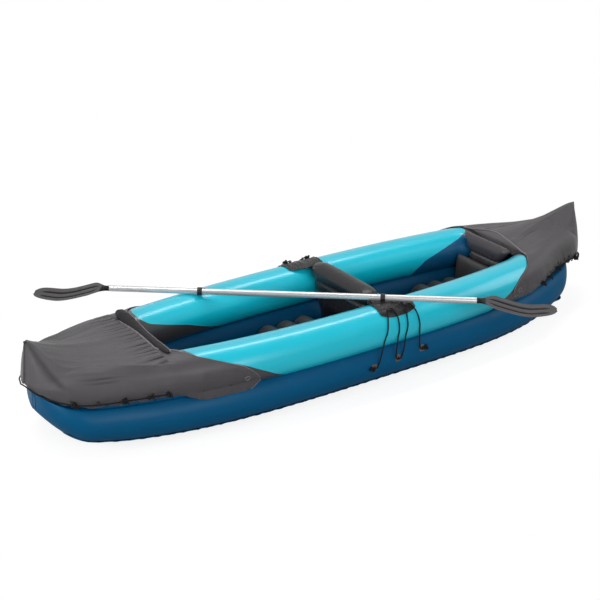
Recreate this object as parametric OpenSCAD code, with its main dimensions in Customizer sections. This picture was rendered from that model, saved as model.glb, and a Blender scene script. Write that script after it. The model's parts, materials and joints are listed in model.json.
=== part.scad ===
// Two-person inflatable kayak with covered ends, two seats and a take-apart paddle.
// Frame in millimetres: +X aft, +Y starboard, +Z up, origin under the middle of the flat bottom.

/* [Hull] */
// Length over both stems
hull_length = 3250; // [2900:10:3600]
// Width between the centre lines of the upper tubes amidships
upper_spread = 638; // [560:2:720]
// Diameter of an upper tube
upper_dia = 207; // [180:1:220]
// Width between the centre lines of the lower tubes amidships
lower_spread = 602; // [540:2:680]
// Diameter of a lower tube
lower_dia = 206; // [180:1:220]
// Height from lower to upper tube centre lines
tube_rise = 168; // [150:1:185]
// Lift of the bottom at 1500 mm from the middle
rocker = 45; // [0:1:80]
// Extra lift of the lower tube at its ends
end_rise = 60; // [20:1:90]
// Distance from the bow stem to the end of an upper tube
upper_setback = 125; // [110:1:200]
// Distance from the stern stem to the end of an upper tube
upper_stern_setback = 245; // [240:1:300]
// How far the upper tubes draw in towards the stern
stern_pinch = 85; // [40:1:90]
// Length of an upper tube's rounded end
dome_len = 150; // [100:1:200]
// Distance from the bow stem to the end of a lower tube
lower_setback = 40; // [30:1:80]
// Distance from the stern stem to the end of a lower tube
lower_stern_setback = 125; // [100:1:150]
// Length over which a lower tube closes in
lower_taper = 185; // [150:1:240]

/* [Bottom and floor] */
// Thickness of the bottom sheet
sheet_t = 3; // [2:0.5:6]
// Drop from the lower tubes to the flat bottom
keel_drop = 12; // [8:0.5:20]
// Width of the welded edge flange
flange_w = 13; // [6:1:20]
// Thickness of the inflated floor
floor_t = 72; // [50:1:90]
// Distance from a stem to an end of the floor
floor_setback = 445; // [420:5:500]
// Number of long flutes in the floor
floor_flutes = 5; // [3:1:7]

/* [Decks] */
// Thickness of a deck cover
cover_t = 3; // [2:0.5:5]
// Length of the bow cover from its stem
bow_cover_len = 553; // [480:1:600]
// Length of the stern cover from its stem
stern_cover_len = 585; // [560:1:600]
// Height of the covers' tips
tip_height = 511; // [470:1:560]
// Height of the bow cover at its back edge
bow_edge_height = 408; // [402:1:440]
// Height of the stern cover's arched edge
stern_edge_height = 435; // [420:1:470]
// Height of the bow cover's foot at the stem
bow_foot = 318; // [290:1:340]
// Height of the stern cover's foot at the stem
stern_foot = 214; // [205:1:330]
// Length over which a cover closes to its stem
cover_close = 229; // [200:1:260]
// How far a tip leans back from the stem
tip_rake = 22; // [0:1:40]
// Diameter of the padded roll at the bow deck
roll_dia = 48; // [36:1:60]

/* [Seats] */
// Front end of the front seat cushion
front_seat_x = -345; // [-400:1:-300]
// Length of the front seat cushion
front_seat_len = 312; // [260:1:330]
// Length of the rear seat cushion
rear_seat_len = 276; // [220:1:300]
// Height of a seat cushion
seat_h = 122; // [90:1:140]
// Number of cross channels in a seat cushion
seat_channels = 3; // [2:1:5]
// Gap left beside a cushion
side_gap = 6; // [4:0.5:15]
// Thickness of the lumbar cushion
lumbar_t = 56; // [40:1:70]
// Gap between the lumbar cushion and the rear backrest
lumbar_gap = 9; // [6:0.5:20]
// Height of the lumbar cushion's top
lumbar_top = 300; // [260:1:330]
// Place of the front backrest's middle
front_back_x = 60; // [40:1:90]
// Thickness of the front backrest
front_back_t = 114; // [90:1:120]
// Greatest width of a backrest
back_width = 480; // [400:2:490]
// Height of the front backrest's top
front_back_top = 428; // [410:1:450]
// Distance from the floor's aft end to the rear backrest's middle
rear_back_inset = 200; // [190:1:230]
// Thickness of the rear backrest
rear_back_t = 68; // [50:1:72]
// Height of the rear backrest's top
rear_back_top = 405; // [380:1:425]
// Drop from a backrest's top to its cross seam
seam_drop = 85; // [70:1:110]

/* [Flaps and lacing] */
// Front edge of a flap
flap_x = -4; // [-20:1:10]
// Length of a flap along the tube
flap_len = 204; // [180:1:240]
// How much further forward the starboard flap lies
flap_skew = 72; // [0:1:80]
// Thickness of a flap
flap_t = 2.5; // [1.5:0.5:4]
// Diameter of the cords
cord_dia = 6.5; // [4:0.5:8]
// Wire diameter of a cord loop
loop_wire = 3.4; // [2.4:0.2:4]

/* [Valves] */
// Diameter of a screw valve's base
valve_dia = 50; // [40:1:60]
// Diameter of a screw valve's cap
cap_dia = 42; // [32:1:46]
// Height of a screw valve's cap
cap_h = 10; // [7:0.5:14]
// Diameter of a cushion's stopper valve
stopper_dia = 18; // [12:1:24]

/* [Paddle] */
// Length of the centre shaft
centre_len = 850; // [700:1:950]
// Length of an end shaft
end_len = 450; // [380:1:520]
// Outside diameter of the shafts
shaft_dia = 29; // [26:0.5:32]
// Wall of the shafts
shaft_wall = 1.5; // [1:0.1:2.5]
// Wall of the ferrules
ferrule_wall = 1.2; // [0.8:0.1:2]
// Depth of a ferrule in each shaft
ferrule_depth = 65; // [50:1:80]
// Width of a joint collar
collar_w = 22; // [14:1:30]
// Diameter of a joint collar
collar_dia = 39; // [35:0.5:44]
// Diameter of a snap button
button_dia = 7; // [5:0.5:9]
// Distance from the joint to the snap button
button_in = 12; // [10:0.5:14]
// Height of the snap button over the shaft
button_out = 4; // [3:0.5:5]
// Length of a blade
blade_len = 374; // [300:1:420]
// Width of a blade
blade_w = 160; // [120:1:190]
// Drop of a blade below the shaft
blade_drop = 50; // [20:1:60]
// Depth of a blade's scoop
blade_scoop = 12; // [6:1:25]
// Thickness of a blade
blade_t = 6; // [4:0.5:9]
// Middle of the paddle along the boat
paddle_x = -264; // [-268:1:-240]
// Middle of the paddle across the boat
paddle_y = -20; // [-30:1:-10]
// Turn of the paddle seen from above
paddle_turn = -39.6; // [-42:0.1:-37]

/* [Hidden] */
$fn = 48;
// clearances
seam = 0.4;
web_gap = 0.9;
rest_gap = 0.4;
cover_gap = 0.9;
slide_gap = 0.05;
// how far the middle of a tube's facet lies inside its round
facet_sag = 0.8;
// fairness of the centre lines, past the stems
up_fair = 215;
low_fair = 207;
sheer = 14;
sheer_reach = 1500;
rocker_reach = 1000;
pinch_setback = 695;
pinch_len = 400;
flat_x = 500;
// where the lower tubes meet each other at the ends
merge_len = 200;
merge_bow = 100;
merge_stern = 160;
// derived levels and reaches
hl = hull_length/2;
ur = upper_dia/2;
lr = lower_dia/2;
low_z0 = keel_drop + lr;
up_z0 = low_z0 + tube_rise;
up_run = hl + up_fair;
low_run = hl + low_fair;
low_stern_run = hl - lower_stern_setback;
pinch_x = hl - pinch_setback;
floor_reach = hl - floor_setback;
bow_dome = hl - upper_setback - dome_len;
stern_dome = hl - upper_stern_setback - dome_len;
bow_close = hl - lower_setback - lower_taper;
stern_close = hl - lower_stern_setback - lower_taper;
cord_r = cord_dia/2;
loop_r = cord_r + loop_wire/2 + 0.9;
loop_off = loop_r + loop_wire/2 + 0.5;
sides = 24;
low_steps = 13;
dome_steps = [0.35, 0.6, 0.8, 0.92, 0.98, 1];
close_steps = [0.2, 0.4, 0.58, 0.74, 0.86, 0.94, 0.98, 1];

function cl(v, a, b) = min(max(v, a), b);
function spow(v, p) = sign(v)*pow(abs(v), p);

// centre lines of the tubes
function ss(v) = let(c = cl(v, 0, 1)) c*c*(3 - 2*c);
function up_y(x) = upper_spread/2*(1 - pow(abs(x)/up_run, 2.54)) - stern_pinch*ss((x - pinch_x)/pinch_len);
function up_sec(x) = norm([1, (up_y(x + 1) - up_y(x - 1))/2]);
function up_z(x) = up_z0 + sheer*pow(abs(x)/sheer_reach, 3);
function up_s(x) = let(e = cl((x > 0 ? x - stern_dome : -x - bow_dome)/dome_len, 0, 1)) sqrt(1 - 0.985*e*e);
function low_e(x) = cl((x > 0 ? x - stern_close : -x - bow_close)/lower_taper, 0, 1);
function low_y(x) = lower_spread/2*(1 - (x > 0 ? pow(x/low_stern_run, 4) : pow(-x/low_run, 3)));
function low_sec(x) = norm([1, (low_y(x + 1) - low_y(x - 1))/2]);
function low_z(x) = low_z0 + rocker*pow(max(0, abs(x) - flat_x)/rocker_reach, 3) + end_rise*pow(low_e(x), 2);
function low_rz(x) = lr*(1 - 0.45*pow(low_e(x), 2));
function low_out(x) = (low_y(x) + lr*low_sec(x))*sqrt(max(0.012, 1 - pow(low_e(x), 2.6)));
function low_in(x) = let(
        e = cl((x > 0 ? x - stern_close + merge_stern : -x - bow_close + merge_bow)/merge_len, 0, 1))
    max(seam/2, (low_y(x) - lr*low_sec(x))*(1 - e) + seam/2*e);
function web(x) = (up_z(x) + low_z(x))/2;
// a point on the outside of an upper or lower tube, port side positive here
function up_at(x, a, off) = [x, up_y(x) + (ur + off)*up_sec(x)*cos(a), up_z(x) + (ur + off)*sin(a)];
function low_at(x, a, off) = [x, low_y(x) + (lr + off)*low_sec(x)*cos(a), low_z(x) + (lr + off)*sin(a)];
// inner faces at a height, for what sits between the tubes
function in_at(x, z) = min(
    up_y(x) - up_sec(x)*sqrt(max(0, ur*ur - pow(z - up_z(x), 2))),
    low_y(x) - low_sec(x)*sqrt(max(0, lr*lr - pow(z - low_z(x), 2))));

bow_edge_x = hl - bow_cover_len;
stern_edge_x = hl - stern_cover_len;
// stations along the tubes, closer together under the covers
function part(a, b, n) = [for (i = [1:n]) a + (b - a)*i/n];
function rev(p) = [for (i = [len(p) - 1:-1:0]) p[i]];
function neg(p) = [for (v = p) -v];
up_bow = concat(part(0, bow_edge_x, 7), part(bow_edge_x, bow_dome, 3));
up_stern = concat(part(0, stern_edge_x, 7), part(stern_edge_x, stern_dome, 4));
up_x = concat(neg(rev(concat(up_bow, [for (s = dome_steps) bow_dome + dome_len*s]))), [0], up_stern,
    [for (s = dome_steps) stern_dome + dome_len*s]);
low_x = concat(neg(rev(concat(part(0, bow_close, 8), [for (s = close_steps) bow_close + lower_taper*s]))), [0],
    part(0, stern_close, low_steps), [for (s = close_steps) stern_close + lower_taper*s]);

// closed solid from points and faces, with the faces turned to look outwards
function sum(v) = v*[for (i = v) 1];
module solid(pts, faces) {
    v = sum([for (f = faces) sum([for (k = [1:len(f) - 2]) pts[f[0]]*cross(pts[f[k]], pts[f[k + 1]])])]);
    polyhedron(pts, v < 0 ? faces : [for (f = faces) [for (k = [len(f) - 1:-1:0]) f[k]]], convexity = 8);
}
function sides_of(m, n) = [for (i = [0:m - 2]) for (j = [0:n - 1]) each [
    [i*n + j, i*n + (j + 1)%n, (i + 1)*n + j],
    [i*n + (j + 1)%n, (i + 1)*n + (j + 1)%n, (i + 1)*n + j]]];

// skin over a row of closed rings that all have the same number of points
module skin(rings) {
    n = len(rings[0]);
    m = len(rings);
    solid([for (r = rings) each r], concat(
        [[for (j = [0:n - 1]) n - 1 - j]], sides_of(m, n), [[for (j = [0:n - 1]) (m - 1)*n + j]]));
}

// skin over strips: each ring is an outer line followed by the same line inside, read backwards;
// a closed end joins the two halves of the last outer line and of the last inner line
module strip_skin(rings, closed = false) {
    n = len(rings[0]);
    h = n/2;
    m = len(rings);
    e = (m - 1)*n;
    c = (h - 1)/2;
    solid([for (r = rings) each r], concat(
        [for (j = [0:h - 2]) each [[j + 1, j, n - 1 - j], [j + 1, n - 1 - j, n - 2 - j]]],
        sides_of(m, n),
        closed ? concat(
            [for (b = [e, e + h]) for (j = [0:c - 1]) each concat(
                [[b + j, b + j + 1, b + h - 1 - j]],
                j < c - 1 ? [[b + j + 1, b + h - 2 - j, b + h - 1 - j]] : [])],
            [[e, e + h - 1, e + h], [e, e + h, e + n - 1]])
        : [for (j = [0:h - 2]) each [
            [e + j, e + j + 1, e + n - 1 - j], [e + j + 1, e + n - 2 - j, e + n - 1 - j]]]));
}

// hull tubes
module upper_tube() {
    skin([for (x = up_x) [for (j = [0:sides - 1]) let(a = 360*j/sides)
        [x, up_y(x) + ur*up_s(x)*up_sec(x)*cos(a),
            max(up_z(x) + ur*up_s(x)*sin(a), web(x) + web_gap/2)]]]);
}
module lower_tube() {
    skin([for (x = low_x) let(o = low_out(x), i = low_in(x), k = 1 - 0.6*low_e(x))
        [for (j = [0:sides - 1]) let(a = 360*j/sides, c = cos(a))
            [x, (o + i)/2 + (o - i)/2*(c < 0 ? spow(c, k) : c),
                min(low_z(x) + low_rz(x)*sin(a), web(x) - web_gap/2)]]]);
}

// bottom sheet: flat in the middle, then up along the tubes to a welded flange
keel_gap = 0.7;
weld_gap = 2.2;
bottom_x = [for (x = low_x) if (low_e(x) < 0.7 && (x == 0 || abs(x) > 0.88*flat_x)) x];
function sheet_half(x) = let(o = low_out(x), i = low_in(x), c = (o + i)/2, w = (o - i)/2,
        zt = low_z(x) - low_rz(x))
    [[c - 0.55*w, zt - keel_drop + sheet_t], [c, zt - keel_gap],
     [c + 0.3*w, zt + low_rz(x)*(1 - sqrt(1 - 0.09)) - weld_gap],
     [c + 0.5*w, zt + low_rz(x)*(1 - sqrt(1 - 0.25)) - weld_gap],
     [c + 0.5*w + flange_w, zt + low_rz(x)*(1 - sqrt(1 - 0.25)) - weld_gap + 0.45*flange_w]];
module bottom_sheet() {
    color([0.03, 0.16, 0.3])
    strip_skin([for (x = bottom_x) let(h = sheet_half(x), n = len(h))
        concat([for (k = [n - 1:-1:0]) [x, -h[k][0], h[k][1]]], [for (p = h) [x, p[0], p[1]]],
               [for (k = [n - 1:-1:0]) [x, h[k][0], h[k][1] - sheet_t]],
               [for (p = h) [x, -p[0], p[1] - sheet_t]])]);
}

// inflated floor with long flutes
floor_pts = 4*floor_flutes;
floor_x = concat([-floor_reach], [for (x = bottom_x) if (abs(x) < floor_reach - 0.2*floor_t) x], [floor_reach]);
function floor_z(x) = low_z(x) - low_rz(x) - keel_drop + sheet_t + rest_gap + 0.5*pow(x/floor_reach, 8);
function floor_hw(x) = in_at(x, floor_z(x) + 0.75*floor_t) - side_gap;
function floor_end(x) = sqrt(max(0.1, 1 - pow(abs(x)/floor_reach, 16)));
floor_tops = [for (x = floor_x) [x, floor_z(x) + floor_t*floor_end(x)]];
function floor_topz(x) = lookup(x, floor_tops);
module floor_pad() {
    color([0.02, 0.1, 0.2])
    skin([for (x = floor_x) let(w = floor_hw(x)*floor_end(x), h = floor_t*floor_end(x))
        concat([for (k = [0:floor_pts]) let(u = 1 - 2*k/floor_pts)
                   [x, w*u, floor_z(x) + (abs(u) > 0.99 ? 0.45*h :
                       h*(0.8 + 0.2*sqrt(abs(sin(180*floor_flutes*k/floor_pts)))))]],
               [[x, -0.86*w, floor_z(x)], [x, 0.86*w, floor_z(x)]])]);
}

// deck covers: an arched shell over the upper tubes that closes to a raised tip
function deck_m(X) = cl((X - hl + 6 + cover_close)/cover_close, 0, 1);
function deck_top(X, edge_x, edge_h) = edge_h + (tip_height - edge_h)*pow(cl((X - edge_x - 30)/
    (hl - edge_x - 36), 0, 1), 2.6);
function deck_half(X, dir, edge_x, edge_h, foot, off) = let(
        m = deck_m(X), s = max(0.07, sqrt(1 - pow(m, 2.2))),
        r = (ur + cover_gap)*s + off, y = up_y(dir*X)*max(0, s - 0.07)/0.93,
        z = up_z(X)*(1 - m*m) + foot*m*m, am = 90 - 75*m, sec = up_sec(dir*X)*(1 - m) + m,
        y1 = y + r*sec*cos(am), z1 = z + r*sin(am), zt = deck_top(X, edge_x, edge_h) - cover_t + off)
    concat([for (k = [0:8]) let(a = -30 + (am + 30)*k/8) [y + r*sec*cos(a), z + r*sin(a)]],
           [for (k = [1:5]) let(t = k/5)
               [y1*((1 - m)*(1 - t) + m*cos(90*t)), z1 + (zt - z1)*((1 - m)*t*t*(3 - 2*t) + m*sin(90*t))]]);
function raked(X, z, foot) = X - tip_rake*pow(deck_m(X), 2)*max(0, z - foot)/200;
function deck_line(X, dir, edge_x, edge_h, foot, off) = let(
        h = deck_half(X, dir, edge_x, edge_h, foot, off), n = len(h))
    concat([for (p = h) [raked(X, p[1], foot), p[0], p[1]]],
           [for (k = [n - 2:-1:0]) let(p = h[k]) [raked(X, p[1], foot), -p[0], p[1]]]);
function deck_x(dir, edge_x) = let(c = hl - cover_close - 46, d = dir > 0 ? stern_dome : bow_dome) concat(
    [edge_x], [for (x = dir > 0 ? up_stern : up_bow) if (x > edge_x + 1) x],
    d < c - 20 ? part(d, c, 2) : [],
    [for (t = [0.2, 0.38, 0.54, 0.68, 0.8, 0.89, 0.95, 0.985, 1]) max(d, c) + (hl - 1 - max(d, c))*t]);
module deck(dir, edge_x, edge_h, foot) {
    strip_skin([for (X = deck_x(dir, edge_x)) let(
            o = deck_line(X, dir, edge_x, edge_h, foot, cover_t),
            i = deck_line(min(X, hl - 1 - cover_t), dir, edge_x, edge_h, foot, 0))
        concat(o, [for (k = [len(i) - 1:-1:0]) i[k]])], closed = true);
}
module bow_deck() {
    color([0.36, 0.35, 0.37]) mirror([1, 0, 0]) deck(-1, bow_edge_x, bow_edge_height, bow_foot);
}
module stern_deck() { color([0.36, 0.35, 0.37]) deck(1, stern_edge_x, stern_edge_height, stern_foot); }

// padded roll across the boat behind the bow deck
roll_x = -(bow_edge_x - roll_dia/2 - 0.8);
module bow_roll() {
    w = up_y(roll_x) + 8;
    zc = up_z(roll_x) + ur + rest_gap + roll_dia/2 + 0.6;
    color([0.4, 0.39, 0.41])
    skin([for (k = [-5:5]) let(u = k/5, s = sqrt(max(0.12, 1 - pow(abs(u), 10))))
        [for (j = [0:15]) let(a = 22.5*j)
            [roll_x + roll_dia/2*s*cos(a), w*u, zc - 10*(1 - u*u) + roll_dia/2*s*sin(a)]]]);
}

// seat cushions with cross channels
function cushion_ring(x, hw, z0, h) = concat(
    [for (k = [0:10]) let(u = 1 - k/5) [x, hw*spow(u, 0.8), z0 + h*(0.42 + 0.58*pow(1 - pow(abs(u), 4), 0.5))]],
    [[x, -0.93*hw, z0 + 0.12*h], [x, -0.8*hw, z0], [x, 0, z0], [x, 0.8*hw, z0], [x, 0.93*hw, z0 + 0.12*h]]);
module seat(x0, length) {
    n = 6*seat_channels;
    skin([for (k = [0:n]) let(t = k/n, x = x0 + length*t,
            c = 0.45 + 0.55*sqrt(abs(sin(180*seat_channels*t))))
        cushion_ring(x, (in_at(x, low_z0) - side_gap)*(0.94 + 0.06*abs(sin(180*seat_channels*t))),
            floor_topz(x) + rest_gap, seat_h*c)]);
}

// upright cushions: rings go up, front face then back face
function pillow_u(u) = sqrt(max(0.02, 1 - pow(abs(u), 8)));
function pillow_ring(x, z, hw, half_t) = concat(
    [for (k = [0:12]) let(u = spow(1 - k/6, 0.6)) [x - half_t*pillow_u(u), hw*u, z]],
    [for (k = [0:12]) let(u = spow(-1 + k/6, 0.6)) [x + half_t*pillow_u(u), hw*u, z]]);
// half width of a backrest: between the tubes, then out over their inner shoulders
ear_gap = 12;
ear_round = 45;
function back_hw(x, z, top) = let(zr = z - ear_gap, t = max(0, (z - top)/ear_round + 1))
    min(back_width/2, in_at(x, zr > up_z(x) ? zr : low_z0) - side_gap)*(1 - 0.3*pow(t, 4));
// half thickness of a backrest: thin skirt, padded panel, pinched cross seam, then a full roll
function back_half(z, z0, top, half_t, skirt_t) = let(
        zs = top - seam_drop, u = (z - zs)/seam_drop,
        base = u < 0 ? skirt_t + (0.8*half_t - skirt_t)*ss(((z - z0)/(zs - z0) - 0.2)/0.45)
            : half_t*(u < 0.5 ? 0.8 + 0.2*sqrt(1 - pow(1 - 2*u, 2)) : sqrt(1 - 0.96*pow(2*u - 1, 2))))
    z <= z0 ? hem_t : base - max(0, base - 0.6*half_t)*exp(-pow((z - zs)/pinch_w, 2));
module pillow(x, aft_x, z0, top, half_t, skirt_t) {
    zs = top - seam_drop;
    skin([for (z = concat([for (t = [0, 0.15, 0.35, 0.55, 0.78]) z0 + (zs - z0)*t],
                [zs - 1.5*pinch_w, zs, zs + 1.5*pinch_w],
                [for (t = [0.36, 0.54, 0.72, 0.86, 0.95, 1]) zs + seam_drop*t]))
        pillow_ring(x, z, back_hw(aft_x, z, top), back_half(z, z0, top, half_t, skirt_t))]);
}
seat_gap = 3;
pinch_w = 9;
front_skirt_t = 9;
rear_skirt_t = 8;
rear_back_x = floor_reach - rear_back_inset;
lumbar_x = rear_back_x - rear_back_t/2 - lumbar_gap - lumbar_t/2;
rear_seat_x = lumbar_x - lumbar_t/2 - seat_gap - rear_seat_len;
hem_t = 4;
lean_gap = 0.75;
lean_reach = 24;
front_foot_z = floor_topz(front_back_x) + lean_gap;
rear_foot_z = floor_topz(rear_back_x) + lean_gap;
rear_aft_x = rear_back_x + rear_back_t/2 + lean_reach;
lumbar_foot_z = floor_topz(lumbar_x + lumbar_t/2) + rest_gap;
module front_backrest() {
    color([0.4, 0.39, 0.41])
    difference() {
        pillow(front_back_x, front_back_x, front_foot_z, front_back_top, front_back_t/2, front_skirt_t);
        stopper_pocket(front_stopper);
    }
}
module rear_backrest() {
    color([0.4, 0.39, 0.41])
    difference() {
        pillow(rear_back_x, rear_aft_x, rear_foot_z, rear_back_top, rear_back_t/2, rear_skirt_t);
        stopper_pocket(rear_stopper);
    }
}
module lumbar_cushion() {
    color([0.24, 0.22, 0.23])
    skin([for (t = [0, 0.1, 0.25, 0.5, 0.72, 0.86, 0.95, 1])
        let(z = lumbar_foot_z + (lumbar_top - lumbar_foot_z)*t, e = abs(2*t - 1))
        pillow_ring(lumbar_x, z, (in_at(lumbar_x + lumbar_t/2, low_z0) - side_gap)*(1 - 0.05*pow(e, 4)),
            lumbar_t/2*sqrt(1 - 0.9*pow(e, 4)))]);
}
module front_seat() { color([0.24, 0.22, 0.23]) seat(front_seat_x, front_seat_len); }
module rear_seat() { color([0.24, 0.22, 0.23]) seat(rear_seat_x, rear_seat_len); }

// stopper valves: place and outward direction, set in a shallow pocket
stopper_h = 7;
pocket_d = 6;
stopper_u = 0.62;
stopper_in = 1.5;
front_stopper_z = front_back_top - seam_drop - 43;
rear_stopper_z = rear_back_top - 49;
front_face = back_half(front_stopper_z, front_foot_z, front_back_top, front_back_t/2, front_skirt_t)*
    pillow_u(stopper_u) - stopper_in;
rear_face = back_half(rear_stopper_z, rear_foot_z, rear_back_top, rear_back_t/2, rear_skirt_t)*
    pillow_u(stopper_u) - stopper_in;
front_stopper = [[front_back_x + front_face,
    stopper_u*back_hw(front_back_x, front_stopper_z, front_back_top), front_stopper_z], 90];
rear_stopper = [[rear_back_x - rear_face,
    -stopper_u*back_hw(rear_aft_x, rear_stopper_z, rear_back_top), rear_stopper_z], -90];
module at_stopper(s) { translate(s[0]) rotate([0, s[1], 0]) children(); }
module stopper_pocket(s) {
    at_stopper(s) translate([0, 0, -pocket_d]) cylinder(d = stopper_dia + 2*rest_gap, h = 40);
}
module stopper(s) {
    color([0.08, 0.08, 0.08])
    at_stopper(s) {
        translate([0, 0, -pocket_d + rest_gap]) cylinder(d = stopper_dia, h = pocket_d + 2);
        translate([0, 0, 2 + rest_gap - 0.5]) cylinder(d = 0.62*stopper_dia, h = stopper_h - 2);
    }
}
module front_back_stopper() { stopper(front_stopper); }
module rear_back_stopper() { stopper(rear_stopper); }

// flaps of the front backrest, draped over the tubes
flap_in = 112;
flap_out = 38;
star_flap_x = flap_x - flap_skew;
module flap(x0) {
    mx = x0 + flap_len/2;
    strip_skin([for (i = [0:8]) let(u = -1 + i/4, x = mx + flap_len/2*u, a0 = flap_out + 13*pow(abs(u), 3),
            a1 = flap_in - 4*u*u)
        concat([for (k = [0:8]) up_at(x, a1 + (a0 - a1)*k/8, cover_gap + flap_t)],
               [for (k = [8:-1:0]) up_at(x, a1 + (a0 - a1)*k/8, cover_gap)])]);
}

// cords: a tube of eight sides along a smoothed route
function spline(p, n) = [for (i = [0:len(p) - 2]) for (k = [0:n - 1]) let(t = k/n,
        a = p[max(i - 1, 0)], b = p[i], c = p[i + 1], d = p[min(i + 2, len(p) - 1)])
    b + 0.5*t*((c - a) + t*((2*a - 5*b + 4*c - d) + t*(3*(b - c) + d - a)))];
function unit(v) = v/norm(v);
module cord(route, ref) {
    n = len(route);
    skin([for (i = [0:n - 1]) let(
            t = unit(route[min(i + 1, n - 1)] - route[max(i - 1, 0)]),
            u = unit(cross(t, ref)), v = cross(t, u))
        [for (j = [0:7]) route[i] + cord_r*(cos(45*j)*u + sin(45*j)*v)]]);
}
module loop(p, dir) {
    translate(p) rotate([0, acos(dir[2]/norm(dir)), atan2(dir[1], dir[0])])
        rotate_extrude() translate([loop_r, 0]) circle(d = loop_wire, $fn = 24);
}

// lacing beside the front backrest: up from a tab, through a pair of eyelets, down to the next tab
eye_a = 58;
eye_off = cover_gap + flap_t + loop_off;
tab_a = 1;
tab_climb = 7;
tab_fore = 46;
tab_aft = 38;
tab_mid = 95;
eye_edge = 26;
eye_pair = 29;
eye_fore = 44;
tab_lead = 12;
tab_turn = 20;
tab_tail = 18;
eye_turn = 10;
function tab(x, i) = low_at(x, tab_a + tab_climb*i, loop_off);
function eye(x) = up_at(x, eye_a, eye_off);
function rise(xa, xb, i) = let(p = tab(xa, i), q = up_at(xa + (xb - xa)*0.4, -22, 1.9*cord_r)) [
    p + 0.3*(q - p), q, up_at(xa + (xb - xa)*0.62, 8, 1.8*cord_r), up_at(xa + (xb - xa)*0.85, 36, 2.4*cord_r)];
function lace_pts(x0) = let(
        t = [x0 - tab_fore, x0 + tab_mid, x0 + flap_len + tab_aft],
        e = [x0 + eye_fore, x0 + eye_fore + eye_pair, x0 + flap_len - eye_edge - eye_pair, x0 + flap_len - eye_edge])
    concat(
        [tab(t[0] - tab_tail, 0), tab(t[0], 0), tab(t[0] + tab_lead, 0)],
        rise(t[0] + tab_turn, e[0] - eye_turn, 0), [eye(e[0]), eye(e[1])],
        rev(rise(t[1] - tab_turn, e[1] + eye_turn, 1)),
        [tab(t[1] - tab_lead, 1), tab(t[1], 1), tab(t[1] + tab_lead, 1)],
        rise(t[1] + tab_turn, e[2] - eye_turn, 1), [eye(e[2]), eye(e[3])],
        rev(rise(t[2] - tab_turn, e[3] + eye_turn, 2)),
        [tab(t[2] - tab_lead, 2), tab(t[2], 2), tab(t[2] + tab_tail, 2)]);
module lace(x0) { cord(spline(lace_pts(x0), 2), [0.31, 0.9, -0.3]); }
module lace_loops(x0, at) {
    p = lace_pts(x0);
    for (i = at) loop(p[i], p[i + 1] - p[i - 1]);
}
module lace_tabs(x0) { lace_loops(x0, [1, 14, 27]); }
module lace_eyes(x0) { lace_loops(x0, [7, 8, 20, 21]); }

// cords along the deck edges, held by loops
hem_k = 1;
function hem_at(X, dir, edge_x, edge_h, foot, k) = let(p = deck_half(X, dir, edge_x, edge_h, foot, cover_t)[k])
    [raked(X, p[1], foot), p[0], p[1]];
function hem(X, dir, edge_x, edge_h, foot) = let(
        along = hem_at(min(X + 2, hl - 1), dir, edge_x, edge_h, foot, hem_k) -
            hem_at(X - 2, dir, edge_x, edge_h, foot, hem_k),
        up = hem_at(X, dir, edge_x, edge_h, foot, hem_k + 1) - hem_at(X, dir, edge_x, edge_h, foot, hem_k - 1))
    hem_at(X, dir, edge_x, edge_h, foot, hem_k) + (loop_off + 0.3)*unit(cross(up, along));
function hem_line(dir, edge_x, edge_h, foot, side) = [for (t = [0.06, 0.2, 0.4, 0.6, 0.75, 0.86, 0.94, 0.985])
    let(p = hem(edge_x + (hl - edge_x)*t, dir, edge_x, edge_h, foot)) [dir*p[0], side*p[1], p[2]]];
function hem_route(dir, edge_x, edge_h, foot) = concat(
    hem_line(dir, edge_x, edge_h, foot, 1),
    [[dir*(hl + loop_off), 0, hem_at(hl - 1, dir, edge_x, edge_h, foot, hem_k)[2]]],
    rev(hem_line(dir, edge_x, edge_h, foot, -1)));
module hem_cord(dir, edge_x, edge_h, foot) { cord(spline(hem_route(dir, edge_x, edge_h, foot), 2), [0, 0, 1]); }
module hem_loops(dir, edge_x, edge_h, foot) {
    r = hem_route(dir, edge_x, edge_h, foot);
    for (i = [1:4]) {
        loop(r[i], r[i + 1] - r[i - 1]);
        k = len(r) - 1 - i;
        loop(r[k], r[k + 1] - r[k - 1]);
    }
}
module bow_cord() { color([0.06, 0.06, 0.06]) hem_cord(-1, bow_edge_x, bow_edge_height, bow_foot); }
module stern_cord() { color([0.06, 0.06, 0.06]) hem_cord(1, stern_edge_x, stern_edge_height, stern_foot); }
module bow_loops() { color([0.1, 0.1, 0.1]) hem_loops(-1, bow_edge_x, bow_edge_height, bow_foot); }
module stern_loops() { color([0.1, 0.1, 0.1]) hem_loops(1, stern_edge_x, stern_edge_height, stern_foot); }

// screw valves: a saddled base and a cap that turns
base_h = 9;
valve_gap = 0.5;
module valve_base() {
    difference() {
        cylinder(d = valve_dia, h = base_h);
        translate([0, 0, base_h - 5]) cylinder(d = cap_dia - 8, h = 10);
    }
}
module valve_cap() {
    translate([0, 0, base_h + rest_gap - 0.1]) {
        cylinder(d = cap_dia, h = cap_h);
        translate([-cap_dia/2 + 4, -2.5, cap_h]) cube([cap_dia - 8, 5, 4]);
    }
    translate([0, 0, base_h - 4.6]) cylinder(d = cap_dia - 8.6, h = 6);
}
// a place on a tube's inner face, in the middle of a straight stretch between two stations
module at_inner(a, b, side) {
    m = (a + b)/2;
    translate([m[0], side*m[1], m[2]])
        rotate([0, 0, -side*atan((a[1] - b[1])/(b[0] - a[0]))]) rotate([side*90, 0, 0]) children();
}
module at_upper_valve(side) {
    at_inner(up_at(up_stern[7], 180, 0), up_at(up_stern[8], 180, 0), side) children();
}
low_pitch = stern_close/low_steps;
module at_lower_valve() { at_inner(low_at(10*low_pitch, 180, 0), low_at(11*low_pitch, 180, 0), -1) children(); }
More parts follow.
